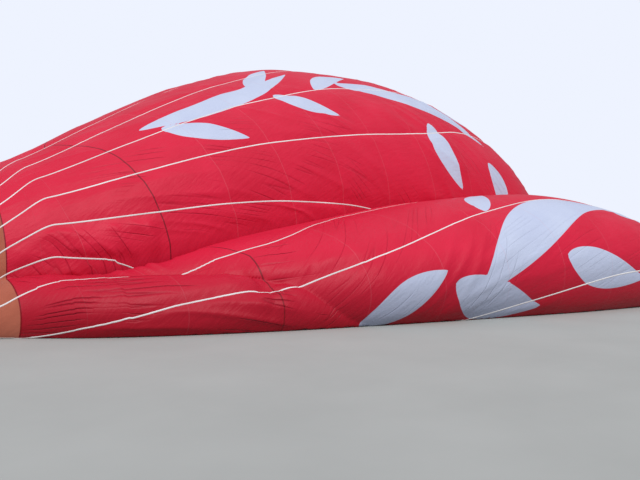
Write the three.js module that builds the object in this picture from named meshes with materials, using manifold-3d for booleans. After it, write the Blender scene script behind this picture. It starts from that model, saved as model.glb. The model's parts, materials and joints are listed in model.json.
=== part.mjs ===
// Hot air balloon, laid out on the ground and part filled with cold air.
// Millimetres, +Z up. +X runs from the basket, through the mouth, to the crown.
// Own zero: X at the edge of the mouth, Z on the ground. The last lines centre the whole.

import * as THREE from 'three';
import { mergeVertices } from 'three/addons/utils/BufferGeometryUtils.js';
import Module from 'manifold-3d';

const wasm = await Module();
wasm.setup();

// Driving dimensions of the envelope
const GORES = 24;
const FIRST_GORE = -9;
const WALL = 10;
const FIT = 0.3;
const SEAM_FIT = 0.6;
const TAPE_WIDTH = 38;
const MOUTH_BAND = 1600;
const VENT_X = 19200;
const STATION_X = [
  1600, 2300, 3000, 3700, 4500, 5300, 6200, 7100, 8000, 9000, 10000, 12000, 14000, 15800, 17200, 18300, 19200,
];

// The cloth lies in up to four humps side by side: a roll and a fold at the near edge (-Y),
// the main dome, and a fold at the far edge. Each hump is part of an ellipse cut by the ground.
// Columns: x is the station; near and far are the edges on the ground; each hump has its half
// width and height; belly is the height of an ellipse's centre as a share of its own height.
const FOLD_BELLY = 0.32;
const SHAPE = {
  x:          [0, 1500, 2400, 4000, 5500, 7000, 10000, 12500, 15000, 16800, 18000, 18800, 19200],
  near:       [-1650, -2500, -3350, -4400, -5150, -5750, -6850, -7650, -8100, -7400, -6000, -3950, -1300],
  far:        [1800, 2300, 2940, 4400, 5350, 6200, 7700, 8600, 8800, 8000, 6400, 4500, 3000],
  domeCentre: [300, 200, 250, 450, 700, 1000, 1450, 1500, 1400, 1200, 900, 800, 800],
  domeHalf:   [1900, 2200, 2540, 3300, 3800, 4300, 5100, 5600, 5800, 5400, 4500, 3200, 2400],
  domeHeight: [2500, 2850, 3200, 4080, 4900, 5600, 6520, 6660, 6080, 5150, 4320, 3450, 2800],
  domeBelly:  [0.4, 0.4, 0.4, 0.4, 0.4, 0.4, 0.4, 0.38, 0.33, 0.26, 0.22, 0.2, 0.2],
  foldHalf:   [100, 200, 400, 900, 1600, 2300, 2350, 2300, 2200, 2100, 1750, 1360, 500],
  foldInset:  [600, 500, 500, 900, 420, 0, 0, 0, 0, 0, 0, 0, 0],
  foldHeight: [100, 500, 800, 1240, 1630, 1930, 2500, 2700, 2400, 1800, 1200, 900, 600],
  backHalf:   [100, 300, 580, 1200, 1500, 1800, 2100, 2200, 2100, 1700, 1200, 800, 500],
  backHeight: [100, 400, 610, 1000, 1300, 1600, 2200, 2400, 2200, 1700, 1100, 700, 400],
  rollHalf:   [720, 850, 1100, 750, 500, 0, 0, 0, 0, 0, 0, 0, 0],
  rollHeight: [900, 950, 960, 950, 800, 0, 0, 0, 0, 0, 0, 0, 0],
};
// Where the seams run. A place round the cloth is counted in gores, with seams at whole
// numbers: near and far are where it meets the ground, foldTop and crest are the tops of the
// fold and of the dome, and width is a gore's width on the near side of the dome.
const SEAMS = {
  near:    [-7, -7, -7.2, -7.55, -7.7, -7.8, -8.15, -8.35, -8.5, -8.7, -8.7, -8.7, -8.7],
  far:     [8.4, 8, 7.6, 6.9, 6.8, 6.8, 6.8, 6.8, 6.6, 6.4, 6.3, 6.2, 6],
  foldTop: [-5.85, -5.8, -5.75, -5.4, -5.35, -5.85, -6.4, -6.65, -6.6, -6.3, -6.48, -6.5, -6.5],
  crest:   [4, 2.8, 0.95, 0.5, 0.3, 0.15, -0.15, -0.43, -0.85, -1.1, -1.2, -1.2, -1.2],
  width:   [400, 420, 588, 900, 1150, 1410, 1900, 2150, 2250, 2000, 1400, 900, 470],
};

// Driving dimensions of what hangs below the mouth
const AXIS_Y = 300;
const BASKET = { length: 1700, width: 1250, depth: 1100, corner: 180, wall: 28, rim: 45, trim: 30 };
const RUNNER = { depth: 45, length: 1500, width: 70, spacing: 400 };
const UPRIGHT = { length: 1000, radius: 30 };
const SOCKET = { base: 80, baseRadius: 38, top: 70, topRadius: 36 };
const CYLINDER = { radius: 140, set: 15 };
const FRAME_X = -3200;
const FRAME = { length: 1240, width: 1000, corner: 120, tube: 24, bossLength: 80 };
const LUG = { out: 60, thick: 8, height: 60, hole: 13, edge: 8 };
const GIMBAL = { length: 960, width: 560, corner: 100, tube: 15, bossLength: 60 };
const PIN = { radius: 10, bore: 11, boss: 20, depth: 28, boreDepth: 34 };
const BURNER = { length: 780, width: 150, depth: 90, spacing: 400 };
const VALVE = { length: 120, width: 70, set: 50 };
const CAN = { radius: 165, length: 330, wall: 6 };
const COIL = { inner: 95, outer: 125, length: 210 };
const KARABINER = { bend: 25, straight: 55, rod: 6, bearing: 4.7 };
const WIRE = 3;

// Driving dimensions of the crown
const VENT = { strapRise: 200, strapBend: 0.72, valveOverlap: 1.03, valveSet: 80, patchRadius: 150 };
const CROWN = { height: 1250, radius: 160, thickness: 12, seat: 10, strap: 8 };

// Looks of the plain model
const paint = (color, roughness, metalness = 0) =>
  new THREE.MeshStandardMaterial({ color, roughness, metalness });
const LOOK = {
  cloth: paint(0xb8303f, 0.6),
  heatCloth: paint(0xa4564f, 0.85),
  webbing: paint(0xe6e2dc, 0.8),
  steel: paint(0xb9bcc0, 0.3, 1),
  frame: paint(0x8d9196, 0.35, 1),
  wicker: paint(0xa9743f, 0.8),
  leather: paint(0x5a3420, 0.6),
  wood: paint(0x9a7448, 0.7),
  cover: paint(0x2a2a2e, 0.8),
};

const balloon = new THREE.Group();
const add = (name, geometry, material) => {
  const mesh = new THREE.Mesh(geometry, material);
  mesh.name = name;
  balloon.add(mesh);
};
const vec = (x, y, z) => new THREE.Vector3(x, y, z);

// Solids: joining and cutting
const toSolid = (geometry) => {
  const bare = geometry.clone();
  bare.deleteAttribute('normal');
  bare.deleteAttribute('uv');
  const merged = mergeVertices(bare.index ? bare : mergeVertices(bare), 1e-3);
  const vertProperties = new Float32Array(merged.attributes.position.array);
  const triVerts = new Uint32Array(merged.index.array);
  return new wasm.Manifold(new wasm.Mesh({ numProp: 3, vertProperties, triVerts }));
};
const toGeometry = (solid) => {
  const mesh = solid.getMesh();
  const geometry = new THREE.BufferGeometry();
  geometry.setAttribute('position', new THREE.BufferAttribute(new Float32Array(mesh.vertProperties), 3));
  geometry.setIndex(new THREE.BufferAttribute(new Uint32Array(mesh.triVerts), 1));
  return geometry;
};
const join = (...geometries) => toGeometry(geometries.map(toSolid).reduce((a, b) => a.add(b)));
const cut = (geometry, ...tools) =>
  toGeometry(tools.map(toSolid).reduce((a, b) => a.subtract(b), toSolid(geometry)));

// A monotone curve through a table's values, level beyond its ends
function smooth(xs, ys, x) {
  const last = xs.length - 1;
  if (x <= xs[0]) return ys[0];
  if (x >= xs[last]) return ys[last];
  const width = (i) => xs[i + 1] - xs[i];
  const rise = (i) => (ys[i + 1] - ys[i]) / width(i);
  const slope = (i) => {
    if (i === 0) return rise(0);
    if (i === last) return rise(last - 1);
    const [a, b] = [rise(i - 1), rise(i)];
    if (a * b <= 0) return 0;
    const wa = 2 * width(i) + width(i - 1);
    const wb = width(i) + 2 * width(i - 1);
    return (wa + wb) / (wa / a + wb / b);
  };
  const i = xs.findIndex((value, k) => k < last && x < xs[k + 1]);
  const t = (x - xs[i]) / width(i);
  const keep = (1 + 2 * t) * (1 - t) ** 2;
  return keep * ys[i] + (1 - keep) * ys[i + 1]
    + width(i) * t * (1 - t) * ((1 - t) * slope(i) - t * slope(i + 1));
}
const shapeAt = (column, x) => smooth(SHAPE.x, SHAPE[column], x);
const seamAt = (column, x) => smooth(SHAPE.x, SEAMS[column], x);

// One hump: an ellipse whose lower part the ground cuts off
function hump(centre, half, height, belly) {
  return { centre, half, middle: belly * height, rise: (1 - belly) * height };
}
function humpsAt(x) {
  const lean = Math.sqrt(1 - (FOLD_BELLY / (1 - FOLD_BELLY)) ** 2);
  const [near, far] = [shapeAt('near', x), shapeAt('far', x)];
  const [roll, fold, back] = [shapeAt('rollHalf', x), shapeAt('foldHalf', x), shapeAt('backHalf', x)];
  const foldCentre = near + fold * lean + shapeAt('foldInset', x);
  return {
    roll: roll > 50 && hump(near + roll * lean, roll, shapeAt('rollHeight', x), FOLD_BELLY),
    fold: hump(foldCentre, fold, shapeAt('foldHeight', x), FOLD_BELLY),
    dome: hump(shapeAt('domeCentre', x), shapeAt('domeHalf', x), shapeAt('domeHeight', x), shapeAt('domeBelly', x)),
    back: hump(far - back * lean, back, shapeAt('backHeight', x), FOLD_BELLY),
  };
}

// The part of a hump that no other hump covers, as points from the near side to the far side
const ARC_STEPS = 240;
function openArc(own, others) {
  const start = Math.PI + Math.asin(Math.min(own.middle / own.rise, 1));
  const sweep = 2 * start - Math.PI;
  let best = [];
  let run = [];
  for (let k = 0; k <= ARC_STEPS; k++) {
    const angle = start - (sweep * k) / ARC_STEPS;
    const y = own.centre + own.half * Math.cos(angle);
    const z = Math.max(0, own.middle + own.rise * Math.sin(angle));
    const covered = others.some((o) =>
      ((y - o.centre) / o.half) ** 2 + ((z - o.middle) / o.rise) ** 2 < 1 - 1e-9);
    run = covered ? [] : [...run, [y, z]];
    if (run.length > best.length) best = run;
  }
  return best;
}

// A station's outline and the fabric's place on it, counted in gores
const outlines = new Map();
function outlineAt(x) {
  if (outlines.has(x)) return outlines.get(x);
  const humps = humpsAt(x);
  const points = [];
  const mark = {};
  for (const name of ['roll', 'fold', 'dome', 'back']) {
    if (!humps[name]) continue;
    const others = Object.values(humps).filter((o) => o && o !== humps[name]);
    const arc = openArc(humps[name], others);
    if (!arc.length) continue;
    const top = arc.reduce((best, p, k) => (p[1] > arc[best][1] ? k : best), 0);
    mark[name] = { first: points.length, top: points.length + top };
    points.push(...arc);
  }
  const run = [0];
  for (let k = 1; k < points.length; k++) {
    run.push(run[k - 1] + Math.hypot(points[k][0] - points[k - 1][0], points[k][1] - points[k - 1][1]));
  }
  const [near, far, crest] = [seamAt('near', x), seamAt('far', x), seamAt('crest', x)];
  const crestRun = run[mark.dome.top];
  const valleyRun = run[mark.dome.first];
  const valley = crest - (crestRun - valleyRun) / seamAt('width', x);
  const knots = [[near, 0]];
  if (mark.fold) {
    knots.push([seamAt('foldTop', x), run[mark.fold.top]]);
  }
  if (valleyRun > 0) knots.push([valley, valleyRun]);
  knots.push([crest, crestRun], [far, run[run.length - 1]]);
  const outline = { points, run, knots, near, far };
  outlines.set(x, outline);
  return outline;
}
function lookUp(pairs, value) {
  let k = 1;
  while (k < pairs.length - 1 && value > pairs[k][0]) k++;
  const [[a, fa], [b, fb]] = [pairs[k - 1], pairs[k]];
  return fa + ((fb - fa) * (value - a)) / (b - a);
}

// How far round the cloth a place lies, from the near edge over the top and back on the ground
function runTo(x, v) {
  const { points, run, knots, near, far } = outlineAt(x);
  const place = v < near ? v + GORES : v;
  if (place <= far) return lookUp(knots, place);
  const onGround = (place - far) / (near + GORES - far);
  return run[run.length - 1] + onGround * (points[points.length - 1][0] - points[0][0]);
}
function girth(x) {
  const { points, run } = outlineAt(x);
  return run[run.length - 1] + points[points.length - 1][0] - points[0][0];
}
function clothPoint(x, distance) {
  const { points, run } = outlineAt(x);
  const along = (distance + girth(x)) % girth(x);
  const past = along - run[run.length - 1];
  if (past > 0) return vec(x, points[points.length - 1][0] - past, 0);
  let k = 1;
  while (k < run.length - 1 && along > run[k]) k++;
  const share = (along - run[k - 1]) / (run[k] - run[k - 1]);
  return vec(x, ...points[k - 1].map((value, axis) => value + share * (points[k][axis] - value)));
}
// Two wall points, outside and inside, a distance sideways from a run along the cloth
const REACH = 250;
function wallAt(x, along, side = 0) {
  const chord = clothPoint(x, along + REACH).sub(clothPoint(x, along - REACH)).normalize();
  const outer = clothPoint(x, along + side);
  const inner = outer.clone().addScaledVector(vec(0, chord.z, -chord.y), WALL);
  inner.z = Math.max(inner.z, WALL / 2);
  return { outer, inner };
}

// A closed sheet from rows of wall points. Its long sides are split the same way on every
// sheet, so that neighbours keep their gap where the cloth twists.
function sheet(rows, closed = false) {
  const wide = rows[0].length;
  const positions = rows.flatMap((row) => row.flatMap((w) => [...w.outer.toArray(), ...w.inner.toArray()]));
  const outer = (i, j) => 2 * (i * wide + (j % wide));
  const inner = (i, j) => outer(i, j) + 1;
  const index = [];
  const quad = (a, b, c, d) => index.push(a, b, c, a, c, d);
  const spans = closed ? wide : wide - 1;
  for (let i = 0; i < rows.length - 1; i++) {
    for (let j = 0; j < spans; j++) {
      quad(outer(i, j), outer(i + 1, j), outer(i + 1, j + 1), outer(i, j + 1));
      quad(inner(i, j), inner(i, j + 1), inner(i + 1, j + 1), inner(i + 1, j));
    }
    if (!closed) {
      quad(outer(i, 0), inner(i, 0), inner(i + 1, 0), outer(i + 1, 0));
      index.push(outer(i, spans), outer(i + 1, spans), inner(i + 1, spans));
      index.push(outer(i, spans), inner(i + 1, spans), inner(i, spans));
    }
  }
  const end = rows.length - 1;
  for (let j = 0; j < spans; j++) {
    quad(outer(0, j), outer(0, j + 1), inner(0, j + 1), inner(0, j));
    quad(outer(end, j), inner(end, j), inner(end, j + 1), outer(end, j + 1));
  }
  const geometry = new THREE.BufferGeometry();
  geometry.setAttribute('position', new THREE.Float32BufferAttribute(positions, 3));
  geometry.setIndex(index);
  return geometry;
}

// Rows of cloth or tape, the first one clear of the mouth band
function shiftX(row, distance) {
  for (const wall of row) {
    wall.outer.x += distance;
    wall.inner.x += distance;
  }
  return row;
}
const rowsOf = (rowAt) => STATION_X.map((x, i) => shiftX(rowAt(x), i === 0 ? FIT / 2 : 0));

// Mouth band: one ring of heat-proof cloth
const MOUTH_COLUMNS = 3 * GORES;
const mouthRow = (x) => Array.from({ length: MOUTH_COLUMNS }, (_, k) => wallAt(x, runTo(x, FIRST_GORE + k / 3)));
add('mouth_band', sheet([mouthRow(0), mouthRow(MOUTH_BAND / 2), shiftX(mouthRow(MOUTH_BAND), -FIT / 2)], true),
  LOOK.heatCloth);

// Gores: strips of cloth from the mouth band to the edge of the vent, between two load tapes
function goreRow(gore, x) {
  const parts = gore > FIRST_GORE && gore < -5 ? 6 : gore > 8 ? 2 : 4;
  const edge = TAPE_WIDTH / 2 + SEAM_FIT;
  const [from, to] = [runTo(x, gore), runTo(x, gore + 1)];
  const width = to - from + (to < from ? girth(x) : 0) - 2 * edge;
  return [
    wallAt(x, from, edge),
    ...Array.from({ length: parts - 1 }, (_, k) => wallAt(x, from + edge + (width * (k + 1)) / parts)),
    wallAt(x, to, -edge),
  ];
}
for (let k = 0; k < GORES; k++) {
  add(`gore_${String(k + 1).padStart(2, '0')}`, sheet(rowsOf((x) => goreRow(FIRST_GORE + k, x))), LOOK.cloth);
}

// Load tapes: webbing in every seam, carried on over the vent to a hub at the crown
const HUB = vec(VENT_X + VENT.strapRise, shapeAt('domeCentre', VENT_X), CROWN.height);
function strapRow(v, radius, rise, thick) {
  const angle = Math.PI / 2 - ((v - seamAt('crest', VENT_X)) * 2 * Math.PI) / GORES;
  const middle = vec(VENT_X + rise, HUB.y + radius * Math.cos(angle), HUB.z + radius * Math.sin(angle));
  const across = vec(0, Math.sin(angle), -Math.cos(angle));
  return [-1, 1].map((sign) => {
    const outer = middle.clone().addScaledVector(across, (sign * TAPE_WIDTH) / 2);
    return { outer, inner: outer.clone().add(vec(-thick, 0, 0)) };
  });
}
function loadTape(v) {
  const rows = rowsOf((x) => [-1, 1].map((sign) => wallAt(x, runTo(x, v), (sign * TAPE_WIDTH) / 2)));
  const sunk = (CROWN.thickness - CROWN.strap) / 2;
  const hubRow = strapRow(v, CROWN.radius - CROWN.seat, VENT.strapRise - sunk, CROWN.strap);
  const half = rows[rows.length - 1].map((wall, k) => {
    const outer = wall.outer.clone().lerp(hubRow[k].outer, 0.5).setX(VENT_X + VENT.strapBend * VENT.strapRise);
    return { outer, inner: outer.clone().add(vec(-WALL, 0, 0)) };
  });
  return sheet([...rows, half, hubRow]);
}
const discX = (radius, length, sides, centre) =>
  new THREE.CylinderGeometry(radius, radius, length, sides).rotateZ(Math.PI / 2)
    .translate(centre.x, centre.y, centre.z);
const hub = discX(CROWN.radius, CROWN.thickness, GORES, HUB.clone().add(vec(-CROWN.thickness / 2, 0, 0)));
add('load_tapes', join(hub, ...Array.from({ length: GORES }, (_, k) => loadTape(FIRST_GORE + k))), LOOK.webbing);

// Parachute valve: a shallow dome inside the vent, under the straps
const VALVE_TOP = HUB.x - CROWN.thickness - FIT;
const VALVE_RIM = VENT_X - VENT.valveSet;
const VALVE_LOW = 30;
function valveRow(share) {
  return Array.from({ length: 2 * GORES }, (_, k) => {
    const rim = clothPoint(VENT_X, runTo(VENT_X, FIRST_GORE + k / 2)).sub(HUB).multiplyScalar(VENT.valveOverlap * share).add(HUB);
    const outer = vec(VALVE_TOP - (VALVE_TOP - VALVE_RIM) * share ** 2, rim.y, Math.max(rim.z, VALVE_LOW));
    return { outer, inner: outer.clone().add(vec(-WALL, 0, 0)) };
  });
}
const valvePatch = discX(VENT.patchRadius, WALL, GORES, vec(VALVE_TOP - WALL / 2, HUB.y, HUB.z));
add('parachute_valve', join(valvePatch, sheet([1, 0.7, 0.4, 0.05].map(valveRow), true)), LOOK.cloth);

// Closed loops of round tube, and rounded rectangles, in a plane across X
function roundedLoop(length, width, corner, steps = 4) {
  const points = [];
  for (const [sy, sz, from] of [[1, 1, 0], [-1, 1, 90], [-1, -1, 180], [1, -1, 270]]) {
    for (let k = 0; k <= steps; k++) {
      const angle = THREE.MathUtils.degToRad(from + (90 * k) / steps);
      points.push([
        sy * (length / 2 - corner) + corner * Math.cos(angle),
        sz * (width / 2 - corner) + corner * Math.sin(angle),
      ]);
    }
  }
  return points;
}
function tubeLoop(points, radius, sides, toSpace) {
  const count = points.length;
  const positions = [];
  for (let k = 0; k < count; k++) {
    const [before, after] = [points[(k + count - 1) % count], points[(k + 1) % count]];
    const [ty, tz] = [after[0] - before[0], after[1] - before[1]];
    const size = Math.hypot(ty, tz);
    for (let s = 0; s < sides; s++) {
      const angle = (2 * Math.PI * s) / sides;
      const out = radius * Math.cos(angle);
      const p = toSpace(points[k][0] + (out * tz) / size, points[k][1] - (out * ty) / size, radius * Math.sin(angle));
      positions.push(...p.toArray());
    }
  }
  const index = [];
  const at = (k, s) => (k % count) * sides + (s % sides);
  for (let k = 0; k < count; k++) {
    for (let s = 0; s < sides; s++) {
      index.push(at(k, s), at(k + 1, s), at(k + 1, s + 1), at(k, s), at(k + 1, s + 1), at(k, s + 1));
    }
  }
  const geometry = new THREE.BufferGeometry();
  geometry.setAttribute('position', new THREE.Float32BufferAttribute(positions, 3));
  geometry.setIndex(index);
  return geometry;
}

// The basket lies on its side, its floor at -X, on its rim roll and base trim
const PROUD = BASKET.rim - BASKET.wall / 2;
const AXIS_Z = BASKET.width / 2 + PROUD;
const RIM_X = FRAME_X - UPRIGHT.length - 30;
const FLOOR_X = RIM_X - BASKET.depth;
const FLOOR = 18;
const across = (x) => (y, z, out) => vec(x + out, AXIS_Y + y, AXIS_Z + z);
function plateX(outlines, from, length) {
  const [outer, ...holes] = outlines.map((points) => points.map(([y, z]) => new THREE.Vector2(y, z)));
  const shape = new THREE.Shape(outer);
  shape.holes = holes.map((hole) => new THREE.Path(hole.reverse()));
  const geometry = new THREE.ExtrudeGeometry(shape, { depth: length, bevelEnabled: false });
  geometry.applyMatrix4(new THREE.Matrix4().makeBasis(vec(0, 1, 0), vec(0, 0, 1), vec(1, 0, 0)));
  return geometry.translate(from, AXIS_Y, AXIS_Z);
}
const basketLoop = (inset) =>
  roundedLoop(BASKET.length - 2 * inset, BASKET.width - 2 * inset, BASKET.corner - inset);

function basket() {
  const rimClear = RIM_X - BASKET.rim - FIT;
  const trimTop = FLOOR_X + 4 * BASKET.trim;
  add('basket_walls', plateX([basketLoop(0), basketLoop(BASKET.wall)], FLOOR_X, rimClear - FLOOR_X), LOOK.wicker);
  add('basket_floor', plateX([basketLoop(BASKET.wall + FIT)], FLOOR_X, FLOOR), LOOK.wood);
  add('basket_base_trim', plateX([basketLoop(-PROUD), basketLoop(-FIT)], FLOOR_X, trimTop - FLOOR_X), LOOK.leather);
  const roll = tubeLoop(basketLoop(BASKET.wall / 2), BASKET.rim, 12, across(RIM_X));
  const sockets = corners(({ base, way }) =>
    rod(base, base.clone().addScaledVector(way, SOCKET.base), SOCKET.baseRadius, 12));
  add('basket_rim', join(roll, ...sockets), LOOK.leather);
  for (const k of [1, 2, 3]) {
    const runner = new THREE.BoxGeometry(RUNNER.depth, RUNNER.length, RUNNER.width)
      .translate(FLOOR_X - RUNNER.depth / 2 - FIT, AXIS_Y, AXIS_Z + (k - 2) * RUNNER.spacing);
    add(`basket_runner_${k}`, runner, LOOK.wood);
  }
}

// The four corners: where an upright leaves the rim and where it meets the load frame
const rod = (from, to, radius, sides) => {
  const way = to.clone().sub(from);
  const turn = new THREE.Quaternion().setFromUnitVectors(vec(0, 1, 0), way.clone().normalize());
  return new THREE.CylinderGeometry(radius, radius, way.length(), sides).translate(0, way.length() / 2, 0)
    .applyQuaternion(turn).translate(from.x, from.y, from.z);
};
const CORNERS = [
  { name: 'lower_near', sy: -1, sz: -1 },
  { name: 'lower_far', sy: 1, sz: -1 },
  { name: 'upper_near', sy: -1, sz: 1 },
  { name: 'upper_far', sy: 1, sz: 1 },
];
const onCorner = (length, width, corner) => {
  const inset = corner * (1 - Math.SQRT1_2);
  return [length / 2 - inset, width / 2 - inset];
};
function corners(make) {
  const [by, bz] = onCorner(BASKET.length - BASKET.wall, BASKET.width - BASKET.wall, BASKET.corner - BASKET.wall / 2);
  const [fy, fz] = onCorner(FRAME.length, FRAME.width, FRAME.corner);
  return CORNERS.map(({ name, sy, sz }) => {
    const base = vec(RIM_X, AXIS_Y + sy * by, AXIS_Z + sz * bz);
    const top = vec(FRAME_X, AXIS_Y + sy * fy, AXIS_Z + sz * fz);
    const way = top.clone().sub(base).normalize();
    const radial = vec(0, sy, sz).normalize();
    const tangent = vec(0, -sz, sy).normalize();
    return make({ name, base, top, way, radial, tangent });
  });
}
basket();

// Uprights: padded rods between the rim's sockets and the frame's
corners(({ name, base, top, way }) => {
  const from = base.clone().addScaledVector(way, SOCKET.base + FIT);
  const to = top.clone().addScaledVector(way, -SOCKET.top - FIT);
  add(`upright_${name}`, rod(from, to, UPRIGHT.radius, 12), LOOK.cover);
});

// Load frame: a ring of tube with sockets, lugs for the flying wires and the gimbal's bosses
function lug({ top, radial, tangent }) {
  const plate = new THREE.BoxGeometry(LUG.out, LUG.height, LUG.thick);
  const basis = new THREE.Matrix4().makeBasis(vec(1, 0, 0), radial, vec(1, 0, 0).cross(radial));
  plate.applyMatrix4(basis).translate(top.x + LUG.out / 2, top.y, top.z);
  const eye = eyeOf({ top });
  const bore = rod(eye.clone().addScaledVector(tangent, -LUG.thick), eye.clone().addScaledVector(tangent, LUG.thick),
    LUG.hole, 16);
  return cut(plate, bore);
}
const eyeOf = ({ top }) => top.clone().add(vec(LUG.out - LUG.hole - LUG.edge, 0, 0));
function boss(from, to) {
  const way = to.clone().sub(from).normalize();
  const bore = rod(to.clone().addScaledVector(way, -PIN.boreDepth), to.clone().addScaledVector(way, 1), PIN.bore, 16);
  return cut(rod(from, to, PIN.boss, 16), bore);
}
const centre = vec(FRAME_X, AXIS_Y, AXIS_Z);
const frameLoop = tubeLoop(roundedLoop(FRAME.length, FRAME.width, FRAME.corner), FRAME.tube, 10, across(FRAME_X));
const at = (y, z) => centre.clone().add(vec(0, y, z));
const frameBosses = [-1, 1].map((side) =>
  boss(at((side * FRAME.length) / 2, 0), at(side * (FRAME.length / 2 - FRAME.bossLength), 0)));
const frameSockets = corners(({ top, way }) =>
  rod(top, top.clone().addScaledVector(way, -SOCKET.top), SOCKET.topRadius, 12));
add('load_frame', join(frameLoop, ...corners(lug), ...frameBosses, ...frameSockets), LOOK.frame);

// Gimbal ring: turns on pins along Y in the load frame, and carries the burners on pins along Z
const gimbalLoop = tubeLoop(roundedLoop(GIMBAL.length, GIMBAL.width, GIMBAL.corner), GIMBAL.tube, 8, across(FRAME_X));
const gimbalPins = [-1, 1].map((side) => rod(at((side * GIMBAL.length) / 2, 0),
  at(side * (FRAME.length / 2 - FRAME.bossLength + PIN.depth), 0), PIN.radius, 16));
const gimbalBosses = [-1, 1].map((side) =>
  boss(at(0, (side * GIMBAL.width) / 2), at(0, side * (GIMBAL.width / 2 - GIMBAL.bossLength))));
add('gimbal_ring', join(gimbalLoop, ...gimbalPins, ...gimbalBosses), LOOK.frame);

// Burner block: the manifold that joins the two burners, with their valves behind it
const blockPins = [-1, 1].map((side) =>
  rod(centre, at(0, side * (GIMBAL.width / 2 - GIMBAL.bossLength + PIN.depth)), PIN.radius, 16));
const block = new THREE.BoxGeometry(BURNER.depth, BURNER.length, BURNER.width).translate(...centre.toArray());
const valves = [-1, 1].map((side) => new THREE.BoxGeometry(VALVE.length, VALVE.width, VALVE.width)
  .translate(FRAME_X - BURNER.depth / 2 - VALVE.set, AXIS_Y + (side * BURNER.spacing) / 2, AXIS_Z));
add('burner_block', join(block, ...valves, ...blockPins), LOOK.steel);

// Burner cans, open toward the mouth, with the coil that warms the fuel inside each
const latheX = (profile, sides, x, y, z) =>
  new THREE.LatheGeometry(profile.map(([r, h]) => new THREE.Vector2(r, h)), sides)
    .rotateZ(-Math.PI / 2).translate(x, y, z);
const CAN_X = FRAME_X + BURNER.depth / 2 + FIT;
const canProfile = [
  [0, 0], [CAN.radius, 0], [CAN.radius, CAN.length],
  [CAN.radius - CAN.wall, CAN.length], [CAN.radius - CAN.wall, CAN.wall], [0, CAN.wall],
];
const coilProfile = [
  [COIL.inner, 0], [COIL.outer, 0], [COIL.outer, COIL.length], [COIL.inner, COIL.length], [COIL.inner, 0],
];
for (const [k, side] of [-1, 1].entries()) {
  const y = AXIS_Y + (side * BURNER.spacing) / 2;
  add(`burner_can_${k + 1}`, latheX(canProfile, 24, CAN_X, y, AXIS_Z), LOOK.steel);
  add(`burner_coil_${k + 1}`, latheX(coilProfile, 20, CAN_X + CAN.wall + FIT, y, AXIS_Z), LOOK.steel);
}

// Fuel cylinders, one in each corner of the basket, standing on its floor. Their profile is
// radius and height: foot ring, barrel, shoulder and the collar round the valve.
const cylinderProfile = [
  [0, 0], [105, 0], [115, 30], [CYLINDER.radius, 75], [CYLINDER.radius, 590], [105, 650], [90, 655], [90, 700], [0, 700],
];
const corner = BASKET.wall + CYLINDER.radius + CYLINDER.set;
for (const [k, { sy, sz }] of CORNERS.entries()) {
  const y = AXIS_Y + sy * (BASKET.length / 2 - corner);
  const z = AXIS_Z + sz * (BASKET.width / 2 - corner);
  add(`fuel_cylinder_${k + 1}`, latheX(cylinderProfile, 16, FLOOR_X + FLOOR + FIT, y, z), LOOK.steel);
}

// Flying wires: six from each corner's karabiner to the seams at the mouth's edge
const FIRST_WIRE = { lower_near: 14, lower_far: 8, upper_near: -4, upper_far: 2 };
corners(({ name, top, tangent }) => {
  const start = eyeOf({ top }).x + KARABINER.bearing;
  const loop = [];
  for (const [middle, from] of [[KARABINER.straight, -90], [0, 90]]) {
    for (let k = 0; k <= 4; k++) {
      const angle = THREE.MathUtils.degToRad(from + 45 * k);
      loop.push([middle + KARABINER.bend * Math.cos(angle), KARABINER.bend * Math.sin(angle)]);
    }
  }
  const radial = tangent.clone().cross(vec(1, 0, 0));
  const place = (along, sideways, out) => vec(start + KARABINER.bend + along, top.y, top.z)
    .addScaledVector(tangent, sideways).addScaledVector(radial, -out);
  const ring = tubeLoop(loop, KARABINER.rod, 8, place);
  const apex = place(KARABINER.straight + KARABINER.bend, 0, 0);
  const wires = Array.from({ length: GORES / 4 }, (_, k) => {
    const seam = FIRST_WIRE[name] + k;
    const { outer, inner } = wallAt(0, runTo(0, seam > 14 ? seam - GORES : seam));
    const end = outer.add(inner).multiplyScalar(0.5);
    const way = end.clone().sub(apex).normalize();
    const slant = Math.hypot(way.y, way.z) / way.x;
    return rod(apex, end.addScaledVector(way, -(FIT / way.x + WIRE * slant)), WIRE, 4);
  });
  add(`flying_wires_${name}`, join(ring, ...wires), LOOK.steel);
});

// Centre the whole over its own zero
const bounds = new THREE.Box3().setFromObject(balloon);
const middle = bounds.getCenter(vec(0, 0, 0));
balloon.position.set(-middle.x, -middle.y, -bounds.min.z);

export default balloon;
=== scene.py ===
import json
import math

import bmesh
import bpy
import numpy as np
from mathutils import Matrix, Vector

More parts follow.
